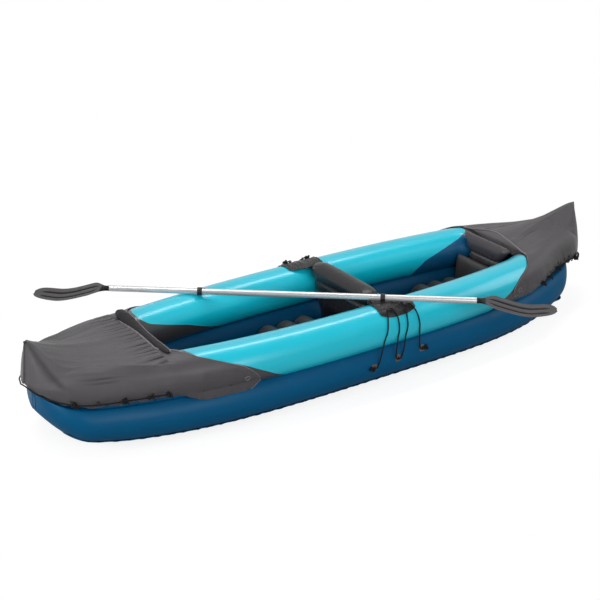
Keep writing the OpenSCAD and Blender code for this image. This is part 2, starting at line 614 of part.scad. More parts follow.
// the floor valve lies along the floor's slope, just over its highest point there
valve_room = 4;
valve_r = valve_dia/2;
floor_valve_x = rear_back_x + rear_back_t/2 + lean_reach + valve_room + valve_r;
floor_slope = (floor_topz(floor_valve_x + valve_r) - floor_topz(floor_valve_x - valve_r))/valve_dia;
floor_seat = max([for (t = [-1:0.1:1]) floor_topz(floor_valve_x + t*valve_r) - floor_slope*t*valve_r]);
module at_floor_valve() {
    translate([floor_valve_x, 0, floor_seat + rest_gap]) rotate([0, -atan(floor_slope), 0]) children();
}
module saddle(r) {
    difference() {
        translate([0, 0, -4]) cylinder(d = valve_dia, h = base_h + 4);
        translate([0, 0, -r]) rotate([0, 90, 0]) cylinder(r = r + valve_gap, h = 4*valve_dia, center = true);
        translate([0, 0, base_h - 5]) cylinder(d = cap_dia - 8, h = 10);
    }
}

// paddle, drawn along its own X axis from the middle of the centre shaft
pr = shaft_dia/2;
bore_r = pr - shaft_wall;
fer_r = bore_r - slide_gap;
joint_x = centre_len/2;
end_x = joint_x + seam;
root_x = end_x + end_len;
press = button_out + shaft_wall + 0.1;
// the paddle rests with its port collar on the flap and its shaft on the starboard tube
port_rest = joint_x + collar_w/2;
port_rest_z = up_z0 + ur + cover_gap + flap_t - facet_sag + collar_dia/2 + rest_gap;
star_rest = (paddle_y - upper_spread/2)/-sin(paddle_turn);
// how far inboard of that tube's crest the starboard collar ends
collar_clear = max(0, -star_rest - end_x - collar_w)*sin(-paddle_turn);
star_rest_z = up_z(paddle_x + star_rest*cos(paddle_turn)) + rest_gap +
    max(ur + pr, sqrt(max(0, ur*ur - collar_clear*collar_clear)) + collar_dia/2);
paddle_tilt = atan((port_rest_z - star_rest_z)/(port_rest - star_rest));
paddle_z = port_rest_z - port_rest*tan(paddle_tilt);
module paddle_frame() {
    translate([paddle_x, paddle_y, paddle_z])
        rotate([0, 0, paddle_turn]) rotate([0, -paddle_tilt, 0]) children();
}
module tube(r, wall, x0, length) {
    translate([x0, 0, 0]) rotate([0, 90, 0]) difference() {
        cylinder(r = r, h = length);
        translate([0, 0, -1]) cylinder(r = r - wall, h = length + 2);
    }
}
module centre_shaft() {
    color([0.85, 0.86, 0.87]) paddle_frame() difference() {
        tube(pr, shaft_wall, -joint_x, centre_len);
        for (s = [-1, 1]) translate([s*(joint_x - button_in), 0, 0]) cylinder(d = button_dia + 0.8, h = 2*pr);
    }
}
module end_side(s) { paddle_frame() rotate([0, 0, s > 0 ? 0 : 180]) children(); }
module end_shaft(s) { color([0.85, 0.86, 0.87]) end_side(s) tube(pr, shaft_wall, end_x, end_len); }
module ferrule(s) {
    color([0.55, 0.56, 0.58]) end_side(s) difference() {
        tube(fer_r, ferrule_wall, joint_x - ferrule_depth, 2*ferrule_depth);
        translate([joint_x - button_in, 0, 0]) cylinder(d = button_dia + 2*slide_gap, h = 2*pr);
    }
}
module collar(s) {
    color([0.05, 0.05, 0.05]) end_side(s) translate([end_x, 0, 0]) rotate([0, 90, 0]) difference() {
        cylinder(d = collar_dia, h = collar_w);
        translate([0, 0, -1]) cylinder(r = pr + slide_gap, h = collar_w + 2);
    }
}
flange_z = sqrt(pow(fer_r - ferrule_wall, 2) - pow(button_dia/2 + 1.2, 2));
module button(s) {
    color([0.75, 0.76, 0.78]) end_side(s) translate([joint_x - button_in, 0, 0]) {
        translate([0, 0, flange_z - 0.5]) cylinder(d = button_dia, h = pr + button_out - flange_z + 0.5);
        translate([0, 0, flange_z - 1.5]) cylinder(d = button_dia + 2.4, h = 1.2);
    }
}
spring_w = 6;
spring_t = 0.8;
module button_spring(s) {
    low = -(fer_r - ferrule_wall) + 1.2;
    high = flange_z - 1.5 - press - spring_t - 0.2;
    color([0.6, 0.6, 0.62]) end_side(s) translate([joint_x - button_in, 0, 0]) {
        translate([-12, -spring_w/2, low]) cube([40, spring_w, spring_t]);
        translate([27, -spring_w/2, low]) cube([spring_t + 0.2, spring_w, high - low + spring_t]);
        translate([-6, -spring_w/2, high]) cube([34, spring_w, spring_t]);
    }
}
// blade: round plug in the shaft, then a scooped blade with a rounded tip
plug_len = 40;
blade_lift = 10;
blade_steps = [0, 0.05, 0.1, 0.17, 0.26, 0.36, 0.48, 0.6, 0.72, 0.82, 0.9, 0.95, 0.985, 1];
function blade_half(t) = t < 0.26 ? fer_r + (blade_w/2 - fer_r)*pow(sin(90*t/0.26), 2)
    : blade_w/2*sqrt(max(0.1, 1 - pow((t - 0.26)/0.74, 10)))*(1 - 0.12*(t - 0.26)/0.74);
function blade_thick(t) = t < 0.3 ? fer_r + (blade_t/2 - fer_r)*pow(sin(90*t/0.3), 1.4)
    : blade_t/2*(1 - 0.4*(t - 0.3)/0.7);
module blade(s) {
    color([0.2, 0.2, 0.21]) end_side(s) skin(concat(
        [[for (j = [0:15]) [root_x - plug_len, fer_r*cos(22.5*j), fer_r*sin(22.5*j)]]],
        [for (t = blade_steps) let(w = blade_half(t), h = blade_thick(t), k = cl(t/0.2, 0, 1))
            [for (j = [0:15]) let(c = cos(22.5*j), d = sin(22.5*j))
                [root_x + seam + blade_len*t, w*c,
                 h*d*(1 - k*0.45*c*c) - blade_drop*ss(t/0.68) +
                     blade_scoop*k*0.6*c*c + blade_lift*ss((t - 0.66)/0.34)]]]));
}

module lower_tube_port() { color([0.0, 0.24, 0.42]) mirror([0, 1, 0]) lower_tube(); }
module lower_tube_starboard() { color([0.0, 0.24, 0.42]) lower_tube(); }
module upper_tube_port() { color([0.0, 0.68, 0.78]) mirror([0, 1, 0]) upper_tube(); }
module upper_tube_starboard() { color([0.0, 0.68, 0.78]) upper_tube(); }
module flap_port() { color([0.42, 0.41, 0.43]) mirror([0, 1, 0]) flap(flap_x); }
module flap_starboard() { color([0.42, 0.41, 0.43]) flap(star_flap_x); }
module lace_port() { color([0.06, 0.06, 0.06]) mirror([0, 1, 0]) lace(flap_x); }
module lace_starboard() { color([0.06, 0.06, 0.06]) lace(star_flap_x); }
module lace_tabs_port() { color([0.1, 0.1, 0.1]) mirror([0, 1, 0]) lace_tabs(flap_x); }
module lace_tabs_starboard() { color([0.1, 0.1, 0.1]) lace_tabs(star_flap_x); }
module lace_eyes_port() { color([0.1, 0.1, 0.1]) mirror([0, 1, 0]) lace_eyes(flap_x); }
module lace_eyes_starboard() { color([0.1, 0.1, 0.1]) lace_eyes(star_flap_x); }
module upper_valve_port() { color([0.15, 0.15, 0.16]) at_upper_valve(-1) saddle(ur); }
module upper_valve_starboard() { color([0.15, 0.15, 0.16]) at_upper_valve(1) saddle(ur); }
module lower_valve() { color([0.15, 0.15, 0.16]) at_lower_valve() saddle(lr); }
module floor_valve() { color([0.15, 0.15, 0.16]) at_floor_valve() valve_base(); }
module upper_cap_port() { color([0.3, 0.3, 0.32]) at_upper_valve(-1) valve_cap(); }
module upper_cap_starboard() { color([0.3, 0.3, 0.32]) at_upper_valve(1) valve_cap(); }
module lower_cap() { color([0.3, 0.3, 0.32]) at_lower_valve() valve_cap(); }
module floor_cap() { color([0.3, 0.3, 0.32]) at_floor_valve() valve_cap(); }
module end_shaft_port() { end_shaft(1); }
module end_shaft_starboard() { end_shaft(-1); }
module ferrule_port() { ferrule(1); }
module ferrule_starboard() { ferrule(-1); }
module collar_port() { collar(1); }
module collar_starboard() { collar(-1); }
module button_port() { button(1); }
module button_starboard() { button(-1); }
module button_spring_port() { button_spring(1); }
module button_spring_starboard() { button_spring(-1); }
module blade_port() { blade(1); }
module blade_starboard() { blade(-1); }

lower_tube_port();
lower_tube_starboard();
upper_tube_port();
upper_tube_starboard();
bottom_sheet();
floor_pad();
bow_deck();
stern_deck();
bow_roll();
front_seat();
rear_seat();
lumbar_cushion();
front_backrest();
rear_backrest();
front_back_stopper();
rear_back_stopper();
flap_port();
flap_starboard();
lace_port();
lace_starboard();
lace_tabs_port();
lace_tabs_starboard();
lace_eyes_port();
lace_eyes_starboard();
bow_cord();
stern_cord();
bow_loops();
stern_loops();
upper_valve_port();
upper_valve_starboard();
lower_valve();
floor_valve();
upper_cap_port();
upper_cap_starboard();
lower_cap();
floor_cap();
centre_shaft();
end_shaft_port();
end_shaft_starboard();
ferrule_port();
ferrule_starboard();
collar_port();
collar_starboard();
button_port();
button_starboard();
button_spring_port();
button_spring_starboard();
blade_port();
blade_starboard();
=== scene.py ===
"""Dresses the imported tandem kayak: vinyl tubes, laced covers, air cushions, cords, valves and paddle.

Everything is in metres in the boat's own frame: +X aft, +Y starboard, +Z up, origin under the middle.
"""

import json
import math

import bmesh
import bpy
import numpy as np
from bpy.props import FloatProperty, FloatVectorProperty, IntProperty, PointerProperty
from mathutils import Matrix, Vector


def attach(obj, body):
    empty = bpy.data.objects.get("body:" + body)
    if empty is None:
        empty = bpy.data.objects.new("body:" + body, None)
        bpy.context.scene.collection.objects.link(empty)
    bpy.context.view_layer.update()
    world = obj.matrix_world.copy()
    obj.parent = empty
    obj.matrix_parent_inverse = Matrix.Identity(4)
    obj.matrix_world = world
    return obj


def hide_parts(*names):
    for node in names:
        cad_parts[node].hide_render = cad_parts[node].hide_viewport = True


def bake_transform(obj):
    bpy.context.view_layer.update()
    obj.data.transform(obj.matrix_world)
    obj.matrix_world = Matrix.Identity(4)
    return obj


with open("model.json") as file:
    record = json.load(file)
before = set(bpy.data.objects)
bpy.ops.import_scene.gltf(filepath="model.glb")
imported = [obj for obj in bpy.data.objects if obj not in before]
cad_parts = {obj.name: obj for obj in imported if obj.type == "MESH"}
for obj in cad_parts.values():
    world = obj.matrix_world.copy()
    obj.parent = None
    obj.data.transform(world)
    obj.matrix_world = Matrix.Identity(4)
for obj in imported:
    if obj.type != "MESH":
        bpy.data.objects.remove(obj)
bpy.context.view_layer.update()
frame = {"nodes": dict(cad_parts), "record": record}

bl_info = {
    "name": "Tandem kayak",
    "version": (1, 0, 0),
    "blender": (4, 5, 0),
    "location": "View3D > Sidebar > Kayak",
    "description": "Builds the visible pieces of an inflatable tandem kayak around its packed solids",
    "category": "Object",
}

SIDES = (("port", -1.0), ("starboard", 1.0))
ENDS = (("bow", -1.0), ("stern", 1.0))
TURN = 2 * np.pi


# Sizes and colours that a user would change


def metres(about, value):
    return FloatProperty(description=about, default=value, unit="LENGTH", precision=4)


def colour(about, value):
    return FloatVectorProperty(description=about, default=value, size=3, min=0, max=1, subtype="COLOR")


class KayakHull(bpy.types.PropertyGroup):
    length: metres("Length over both stems", 3.25)
    upper_spread: metres("Between the upper tubes' centre lines", 0.638)
    upper_dia: metres("Diameter of an upper tube", 0.207)
    lower_spread: metres("Between the lower tubes' centre lines", 0.602)
    lower_dia: metres("Diameter of a lower tube", 0.206)
    tube_rise: metres("From the lower to the upper centre line", 0.168)
    rocker: metres("Lift of the bottom 1.5 m from the middle", 0.045)
    end_rise: metres("Extra lift of a lower tube's end", 0.06)
    upper_setback: metres("From the bow stem to the upper tube", 0.125)
    upper_stern_setback: metres("From the stern stem to the upper tube", 0.245)
    stern_pinch: metres("How far the upper tubes draw in at the stern", 0.085)
    dome_len: metres("Length of an upper tube's rounded end", 0.15)
    lower_setback: metres("From the bow stem to the lower tube", 0.04)
    lower_stern_setback: metres("From the stern stem to the lower tube", 0.125)
    lower_taper: metres("Length over which a lower tube closes", 0.185)
    keel_drop: metres("From the lower tubes to the flat bottom", 0.012)
    sheet_t: metres("Thickness of the bottom sheet", 0.003)
    flange_w: metres("Width of the bottom's welded edge", 0.013)
    floor_t: metres("Thickness of the inflated floor", 0.072)
    floor_reach: metres("Half length of the floor", 1.18)
    floor_flutes: IntProperty(description="Long flutes in the floor", default=5)


class KayakCovers(bpy.types.PropertyGroup):
    thickness: metres("Thickness of the cover's solid", 0.003)
    bow_len: metres("Length of the bow cover", 0.553)
    stern_len: metres("Length of the stern cover", 0.585)
    tip_height: metres("Height of both tips", 0.511)
    bow_edge: metres("Height of the bow cover's back edge", 0.408)
    stern_edge: metres("Height of the stern cover's arch", 0.435)
    bow_foot: metres("Height of the bow cover's foot at the stem", 0.318)
    stern_foot: metres("Height of the stern cover's foot at the stem", 0.214)
    close: metres("Length over which a cover closes to its stem", 0.229)
    rake: metres("How far a tip leans back", 0.022)
    roll_dia: metres("Diameter of the padded roll at the bow", 0.048)
    cord_dia: metres("Diameter of the cords", 0.0065)
    loop_wire: metres("Wire diameter of a cord loop", 0.0034)


class KayakSeats(bpy.types.PropertyGroup):
    front_x: metres("Front end of the front seat", -0.345)
    front_len: metres("Length of the front seat", 0.312)
    rear_x: metres("Front end of the rear seat", 0.602)
    rear_len: metres("Length of the rear seat", 0.276)
    height: metres("Height of a seat cushion", 0.122)
    channels: IntProperty(description="Cross channels in a seat", default=3)
    side_gap: metres("Gap beside a cushion", 0.006)
    lumbar_t: metres("Thickness of the lumbar cushion", 0.056)
    lumbar_top: metres("Height of the lumbar cushion's top", 0.3)
    back_width: metres("Greatest width of a backrest", 0.48)
    seam_drop: metres("From a backrest's top to its cross seam", 0.085)
    front_back_x: metres("Place of the front backrest", 0.06)
    front_back_t: metres("Thickness of the front backrest", 0.114)
    front_back_top: metres("Height of the front backrest", 0.428)
    rear_back_x: metres("Place of the rear backrest", 0.98)
    rear_back_t: metres("Thickness of the rear backrest", 0.068)
    rear_back_top: metres("Height of the rear backrest", 0.405)
    flap_x: metres("Front edge of a flap", -0.004)
    flap_skew: metres("How much further forward the starboard flap lies", 0.072)
    flap_len: metres("Length of a flap along the tube", 0.204)
    flap_t: metres("Thickness of a flap's solid", 0.0025)


class KayakPaddle(bpy.types.PropertyGroup):
    centre_len: metres("Length of the centre shaft", 0.85)
    end_len: metres("Length of an end shaft", 0.45)
    shaft_dia: metres("Outside diameter of the shafts", 0.029)
    shaft_wall: metres("Wall of the shafts", 0.0015)
    collar_w: metres("Width of a joint collar", 0.022)
    collar_dia: metres("Diameter of a joint collar", 0.039)
    blade_len: metres("Length of a blade", 0.374)
    blade_w: metres("Width of a blade", 0.16)
    blade_drop: metres("Drop of a blade below the shaft", 0.05)
    blade_lift: metres("Lift of a blade's tip", 0.01)
    blade_scoop: metres("Depth of a blade's scoop", 0.012)
    blade_t: metres("Thickness of a blade", 0.006)
    place_x: metres("Middle of the paddle along the boat", -0.264)
    place_y: metres("Middle of the paddle across the boat", -0.02)
    turn: FloatProperty(
        description="Turn of the paddle seen from above", default=math.radians(-39.6), subtype="ANGLE")


class KayakFinish(bpy.types.PropertyGroup):
    turquoise: colour("Upper tubes", (0.0, 0.54, 0.69))
    navy: colour("Lower tubes", (0.0, 0.085, 0.2))
    # a very dark navy: partly the floor's own colour, partly painted shade for the deep shade inside the hull
    floor: colour("Inflated floor", (0.001, 0.01, 0.026))
    cover: colour("End covers", (0.076, 0.071, 0.076))
    panel: colour("End panels of the upper tubes", (0.05, 0.046, 0.046))
    patch: colour("Patches under the lacing's tabs", (0.12, 0.085, 0.07))
    cushion: colour("Seats and lumbar cushion", (0.042, 0.037, 0.037))
    backrest: colour("Backrests, flaps and roll", (0.018, 0.016, 0.018))
    black: colour("Cords, loops and collars", (0.008, 0.008, 0.009))
    valve: colour("Valves and caps", (0.035, 0.035, 0.038))
    silver: colour("Paddle shafts", (0.68, 0.69, 0.7))
    blade: colour("Paddle blades", (0.085, 0.081, 0.085))


def sizes(group):
    """The scene's values of one property group."""
    return getattr(bpy.context.scene, "kayak_" + group)


# Lines of the boat, the same rules as its solids

REST_GAP = 0.0004
COVER_GAP = 0.0009
# half of the gap between an upper tube and the lower tube under it
WEB_HALF = 0.00045
# the bottom is flat up to this distance from the middle
FLAT_X = 0.5


def ease(v):
    c = np.clip(v, 0, 1)
    return c * c * (3 - 2 * c)


def bell(v):
    return np.exp(-np.square(v))


def ripple(x, pitch, seed):
    """An uneven wave from -1 to 1, the same each run."""
    w = TURN * x / pitch
    slow = 0.55 * np.sin(w + seed) + 0.3 * np.sin(1.63 * w + 2.1 * seed)
    return slow + 0.15 * np.sin(2.71 * w + 3.7 * seed)


def xyz(x, y, z):
    """Points from coordinates of shapes that fit together."""
    return np.stack(np.broadcast_arrays(x, y, z), -1)


def mirrored(points, side):
    return np.asarray(points) * np.array([1.0, side, 1.0])


class Lines:
    """Centre lines, sections and levels of the hull, worked out from its sizes."""

    def __init__(self):
        h = sizes("hull")
        c = sizes("covers")
        self.h = h
        self.c = c
        self.hl = h.length / 2
        self.ur = h.upper_dia / 2
        self.lr = h.lower_dia / 2
        self.low_z0 = h.keel_drop + self.lr
        self.up_z0 = self.low_z0 + h.tube_rise
        self.up_run = self.hl + 0.215
        self.low_run = self.hl + 0.207
        self.low_stern_run = self.hl - h.lower_stern_setback
        self.bow_dome = self.hl - h.upper_setback - h.dome_len
        self.stern_dome = self.hl - h.upper_stern_setback - h.dome_len
        self.bow_close = self.hl - h.lower_setback - h.lower_taper
        self.stern_close = self.hl - h.lower_stern_setback - h.lower_taper
        self.edge = {-1.0: self.hl - c.bow_len, 1.0: self.hl - c.stern_len}
        self.edge_h = {-1.0: c.bow_edge, 1.0: c.stern_edge}
        self.foot = {-1.0: c.bow_foot, 1.0: c.stern_foot}
        self.cord_r = c.cord_dia / 2
        self.loop_off = self.cord_r + 0.0014 + c.loop_wire

    def up_y(self, x):
        pinch = self.h.stern_pinch * ease((x - self.hl + 0.695) / 0.4)
        return self.h.upper_spread / 2 * (1 - np.power(np.abs(x) / self.up_run, 2.54)) - pinch

    def up_sec(self, x):
        """How much longer a cross cut is than the tube's own section, since the tube runs at a slant."""
        return np.hypot(1, (self.up_y(x + 0.001) - self.up_y(x - 0.001)) / 0.002)

    def up_z(self, x):
        return self.up_z0 + 0.014 * np.power(np.abs(x) / 1.5, 3)

    def up_s(self, x):
        """Share of the full radius, which falls off in the domed ends."""
        e = np.clip(np.where(x > 0, x - self.stern_dome, -x - self.bow_dome) / self.h.dome_len, 0, 1)
        return np.sqrt(1 - 0.985 * e * e)

    def low_e(self, x):
        """0 along the lower tube, and up to 1 over its closing ends."""
        return np.clip(np.where(x > 0, x - self.stern_close, -x - self.bow_close) / self.h.lower_taper, 0, 1)

    def low_y(self, x):
        aft = np.power(np.maximum(x, 0) / self.low_stern_run, 4)
        fore = np.power(np.maximum(-x, 0) / self.low_run, 3)
        return self.h.lower_spread / 2 * (1 - aft - fore)

    def low_sec(self, x):
        return np.hypot(1, (self.low_y(x + 0.001) - self.low_y(x - 0.001)) / 0.002)

    def low_z(self, x):
        lift = self.h.rocker * np.power(np.maximum(0, np.abs(x) - FLAT_X), 3)
        return self.low_z0 + lift + self.h.end_rise * self.low_e(x) ** 2

    def low_rz(self, x):
        return self.lr * (1 - 0.45 * self.low_e(x) ** 2)

    def low_out(self, x):
        close = np.sqrt(np.maximum(0.012, 1 - np.power(self.low_e(x), 2.6)))
        return (self.low_y(x) + self.lr * self.low_sec(x)) * close

    def low_in(self, x):
        e = np.clip(np.where(x > 0, x - self.stern_close + 0.16, -x - self.bow_close + 0.1) / 0.2, 0, 1)
        return np.maximum(0.0002, (self.low_y(x) - self.lr * self.low_sec(x)) * (1 - e) + 0.0002 * e)

    def web(self, x):
        return (self.up_z(x) + self.low_z(x)) / 2

    def up_at(self, x, a, off=0.0):
        r = self.ur + off
        return xyz(x, self.up_y(x) + r * self.up_sec(x) * np.cos(a), self.up_z(x) + r * np.sin(a))

    def low_at(self, x, a, off=0.0):
        r = self.lr + off
        return xyz(x, self.low_y(x) + r * self.low_sec(x) * np.cos(a), self.low_z(x) + r * np.sin(a))

    def in_at(self, x, z):
        """Half width between the tubes at a height."""
        up = self.up_sec(x) * np.sqrt(np.maximum(0, self.ur ** 2 - np.square(z - self.up_z(x))))
        low = self.low_sec(x) * np.sqrt(np.maximum(0, self.lr ** 2 - np.square(z - self.low_z(x))))
        return np.minimum(self.up_y(x) - up, self.low_y(x) - low)

    def floor_z(self, x):
        under = self.low_z(x) - self.low_rz(x) - self.h.keel_drop + self.h.sheet_t + REST_GAP
        return under + 0.0005 * np.power(x / self.h.floor_reach, 8)

    def floor_end(self, x):
        return np.sqrt(np.maximum(0.1, 1 - np.power(np.abs(x) / self.h.floor_reach, 16)))

    def floor_top(self, x):
        return self.floor_z(x) + self.h.floor_t * self.floor_end(x)

    def deck_m(self, x):
        return np.clip((x - self.hl + 0.006 + self.c.close) / self.c.close, 0, 1)

    def deck_wrap(self, x, end, off):
        """Closing share, radius, centre, slant and top angle of a cover where it lies on the tube."""
        m = self.deck_m(x)
        s = np.maximum(0.07, np.sqrt(1 - np.power(m, 2.2)))
        r = (self.ur + COVER_GAP) * s + off
        y = self.up_y(end * x) * np.maximum(0, s - 0.07) / 0.93
        z = self.up_z(x) * (1 - m * m) + self.foot[end] * m * m
        sec = self.up_sec(end * x) * (1 - m) + m
        return m, r, y, z, sec, np.radians(90 - 75 * m)

    def deck_at(self, x, end, a, off):
        """A point of a cover on the tube, at an angle from outboard over the top."""
        _, r, y, z, sec, _ = self.deck_wrap(x, end, off)
        return self.raked(x, end, y + r * sec * np.cos(a), z + r * np.sin(a))

    def deck_side(self, x, end, u, off):
        """A point of a cover's side, u from its hem to its shoulder."""
        top = self.deck_wrap(x, end, off)[5]
        return self.deck_at(x, end, np.radians(-30) + (top + np.radians(30)) * u, off)

    def deck_crown(self, x, end, t, off):
        """A point of a cover's top, t from its shoulder to the middle."""
        m, r, y, z, sec, top = self.deck_wrap(x, end, off)
        y1 = y + r * sec * np.cos(top)
        z1 = z + r * np.sin(top)
        rise = np.clip((x - self.edge[end] - 0.03) / (self.hl - self.edge[end] - 0.036), 0, 1)
        zt = self.edge_h[end] + (self.c.tip_height - self.edge_h[end]) * np.power(rise, 2.6)
        zt = zt - self.c.thickness + off
        q = np.pi / 2 * t
        return self.raked(x, end, y1 * ((1 - m) * (1 - t) + m * np.cos(q)),
                          z1 + (zt - z1) * ((1 - m) * t * t * (3 - 2 * t) + m * np.sin(q)))

    def raked(self, x, end, y, z):
        lean = self.c.rake * self.deck_m(x) ** 2 * np.maximum(0, z - self.foot[end]) / 0.2
        return xyz(end * (x - lean), y, z)


# Meshes

CLOTH_T = 0.0016


def around(count):
    """Angles round a ring."""
    return np.linspace(0, TURN, count, endpoint=False)[None, :]


def unit(v):
    return v / np.maximum(np.linalg.norm(v, axis=-1, keepdims=True), 1e-9)


def lengths(points):
    """Distance along a line at each of its points."""
    return np.concatenate([[0], np.cumsum(np.linalg.norm(np.diff(points, axis=0), axis=1))])


def row_normals(rows, wrap):
    """Normals of a grid of points, from the differences along its rows and columns."""
    along = np.gradient(rows, axis=0)
    across = np.roll(rows, -1, 1) - np.roll(rows, 1, 1) if wrap else np.gradient(rows, axis=1)
    return unit(np.cross(across, along))


def grid_corners(m, n, wrap):
    """Row and column numbers of each face's first corner."""
    return np.meshgrid(np.arange(m - 1), np.arange(n if wrap else n - 1), indexing="ij")


def grid_uvs(rows, wrap):
    """Lengths along and across the grid at each corner of its faces, in metres."""
    m, n = rows.shape[:2]
    ring = rows[m // 2]
    along = lengths(rows.mean(1))
    across = lengths(np.vstack([ring, ring[:1]]) if wrap else ring)
    i, j = grid_corners(m, n, wrap)
    u = np.stack([along[i], along[i], along[i + 1], along[i + 1]], -1)
    v = np.stack([across[j], across[j + 1], across[j + 1], across[j]], -1)
    return np.stack([u, v], -1).reshape(-1, 2)


def link(name, data):
    obj = bpy.data.objects.new(name, data)
    bpy.context.scene.collection.objects.link(obj)
    return obj


def smooth(mesh):
    mesh.polygons.foreach_set("use_smooth", np.ones(len(mesh.polygons), bool))


def grid_mesh(name, rows, form="tube", **fields):
    """A mesh over rows of points: tube (rings with filled ends), open, or fold (last row folded shut)."""
    m, n = rows.shape[:2]
    i, j = grid_corners(m, n, form == "tube")
    k = (j + 1) % n
    faces = np.stack([i * n + j, i * n + k, (i + 1) * n + k, (i + 1) * n + j], -1).reshape(-1, 4).tolist()
    uvs = grid_uvs(rows, form == "tube")
    last = (m - 1) * n
    if form == "tube":
        faces += [tuple(range(n)), tuple(last + k for k in reversed(range(n)))]
    if form == "fold":
        pairs = [(last + k, last + k + 1, last + n - 2 - k, last + n - 1 - k) for k in range((n - 1) // 2)]
        faces += [tuple(dict.fromkeys(f)) for f in pairs]
    mesh = bpy.data.meshes.new(name)
    mesh.from_pydata(rows.reshape(-1, 3).tolist(), [], faces)
    flat = np.zeros((len(mesh.loops), 2), np.float32)
    flat[: len(uvs)] = uvs
    mesh.uv_layers.new(name="lay").data.foreach_set("uv", flat.ravel())
    smooth(mesh)
    for key, values in fields.items():
        layer = mesh.attributes.new(key, "FLOAT", "POINT")
        layer.data.foreach_set("value", values.ravel().astype(np.float32))
    if form != "open":
        bm = bmesh.new()
        bm.from_mesh(mesh)
        bmesh.ops.recalc_face_normals(bm, faces=bm.faces)
        bm.to_mesh(mesh)
        bm.free()
    mesh.update()
    return mesh


def joined(name, meshes):
    """Several meshes as one."""
    bm = bmesh.new()
    for part in meshes:
        bm.from_mesh(part)
        bpy.data.meshes.remove(part)
    mesh = bpy.data.meshes.new(name)
    bm.to_mesh(mesh)
    bm.free()
    return mesh


def smooth_line(points, steps):
    """A smooth line through points, as the solids' cords use."""
    p = np.asarray(points, float)
    out = []
    for i in range(len(p) - 1):
        a = p[max(i - 1, 0)]
        b, c = p[i], p[i + 1]
        d = p[min(i + 2, len(p) - 1)]
        for k in range(steps):
            t = k / steps
            bend = (2 * a - 5 * b + 4 * c - d) + t * (3 * (b - c) + d - a)
            out.append(b + 0.5 * t * ((c - a) + t * bend))
    out.append(p[-1])
    return np.array(out)


def tube_rows(line, radius, sides=8):
    """Rings round a line, carried along it without twist."""
    tangent = unit(np.gradient(line, axis=0))
    side = np.cross(tangent[0], [0.31, 0.9, -0.3])
    angle = around(sides).T
    rows = []
    for point, t in zip(line, tangent):
        side = unit(side - t * np.dot(side, t))
        rows.append(point + radius * (np.cos(angle) * side + np.sin(angle) * np.cross(t, side)))
    return np.array(rows)


def mat(name):
    return bpy.data.materials[name]


def dress(obj, material, body, slot, *nodes):
    """Gives a finished piece its material and its body, and hides the solids that it stands for; slot is not
    used.
    """
    obj.data.materials.clear()
    obj.data.materials.append(mat(material))
    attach(obj, body)
    if nodes:
        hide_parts(*nodes)
    return obj


def piece(name, rows, material, body, slot, *nodes, form="tube", **fields):
    """A finished piece over rows of points."""
    return dress(link(name, grid_mesh(name, rows, form, **fields)), material, body, slot, *nodes)


def strand(name, line, radius, material, body, slot, *nodes, sides=8):
    """A finished round strand along a line."""
    return piece(name, tube_rows(line, radius, sides), material, body, slot, *nodes)


def thicken(obj, thickness):
    """Gives a grid of cloth its thickness, inwards."""
    wall = obj.modifiers.new("cloth", "SOLIDIFY")
    wall.thickness = thickness
    wall.offset = -1


def paint_nodes(material, *names):
    """A better material on solids whose shape is right."""
    for name in names:
        data = frame["nodes"][name].data
        data.materials.clear()
        data.materials.append(mat(material))


# Nodes, shader groups and materials

VALUE = "NodeSocketFloat"
VECTOR = "NodeSocketVector"


def wire(tree, socket, value):
    """Links an input to another node's socket, or sets it to a value."""
    if isinstance(value, bpy.types.NodeSocket):
        tree.links.new(value, socket)
    elif socket.type == "RGBA":
        socket.default_value = (*value, 1.0)
    else:
        socket.default_value = value


def add(tree, kind, *inputs, **values):
    """A new node. Inputs come in order or by capitalised keys, and the other keys are its own settings."""
    n = tree.nodes.new(kind)
    for key, value in values.items():
        if key[0].islower():
            setattr(n, key, value)
    named = [(n.inputs[key.replace("_", " ")], value) for key, value in values.items() if key[0].isupper()]
    for socket, value in [*zip(n.inputs, inputs), *named]:
        if value is not None:
            wire(tree, socket, value)
    return n


def maths(tree, operation, a, b=None, clamp=False):
    return add(tree, "ShaderNodeMath", a, b, operation=operation, use_clamp=clamp).outputs[0]


def ramp(tree, value, low, high, to=(0.0, 1.0), kind="SMOOTHSTEP"):
    return add(tree, "ShaderNodeMapRange", Value=value, From_Min=low, From_Max=high, To_Min=to[0],
               To_Max=to[1], interpolation_type=kind).outputs[0]


def noise(tree, vector, scale, **values):
    return add(tree, "ShaderNodeTexNoise", Vector=vector, Scale=scale, **values).outputs[0]


def mix_colour(tree, factor, a, b):
    n = add(tree, "ShaderNodeMix", factor, data_type="RGBA")
    wire(tree, n.inputs[6], a)
    wire(tree, n.inputs[7], b)
    return n.outputs[2]


def scaled(c, k):
    return tuple(min(1.0, v * k) for v in c)


def shade_group(name, outputs, **inputs):
    """A new shader group and its inputs; an input with one number is a value, and the others are vectors."""
    tree = bpy.data.node_groups.new(name, "ShaderNodeTree")
    for label, value in inputs.items():
        kind = VALUE if isinstance(value, float) else VECTOR
        socket = tree.interface.new_socket(label, in_out="INPUT", socket_type=kind)
        if value is not None:
            socket.default_value = value
    for label in outputs:
        tree.interface.new_socket(label, in_out="OUTPUT", socket_type=VALUE)
    return tree, tree.nodes.new("NodeGroupInput").outputs


def grain_group():
    """Fine pebbled grain of pressed vinyl, and a slow change of gloss."""
    tree, given = shade_group("Vinyl grain", ("Height", "Gloss"), Vector=None, Scale=900.0, Patch=6.0)
    fine = noise(tree, given["Vector"], given["Scale"], Detail=2.0, Roughness=0.6)
    slow = noise(tree, given["Vector"], given["Patch"], Detail=3.0, Roughness=0.55)
    add(tree, "NodeGroupOutput", Height=fine, Gloss=slow)


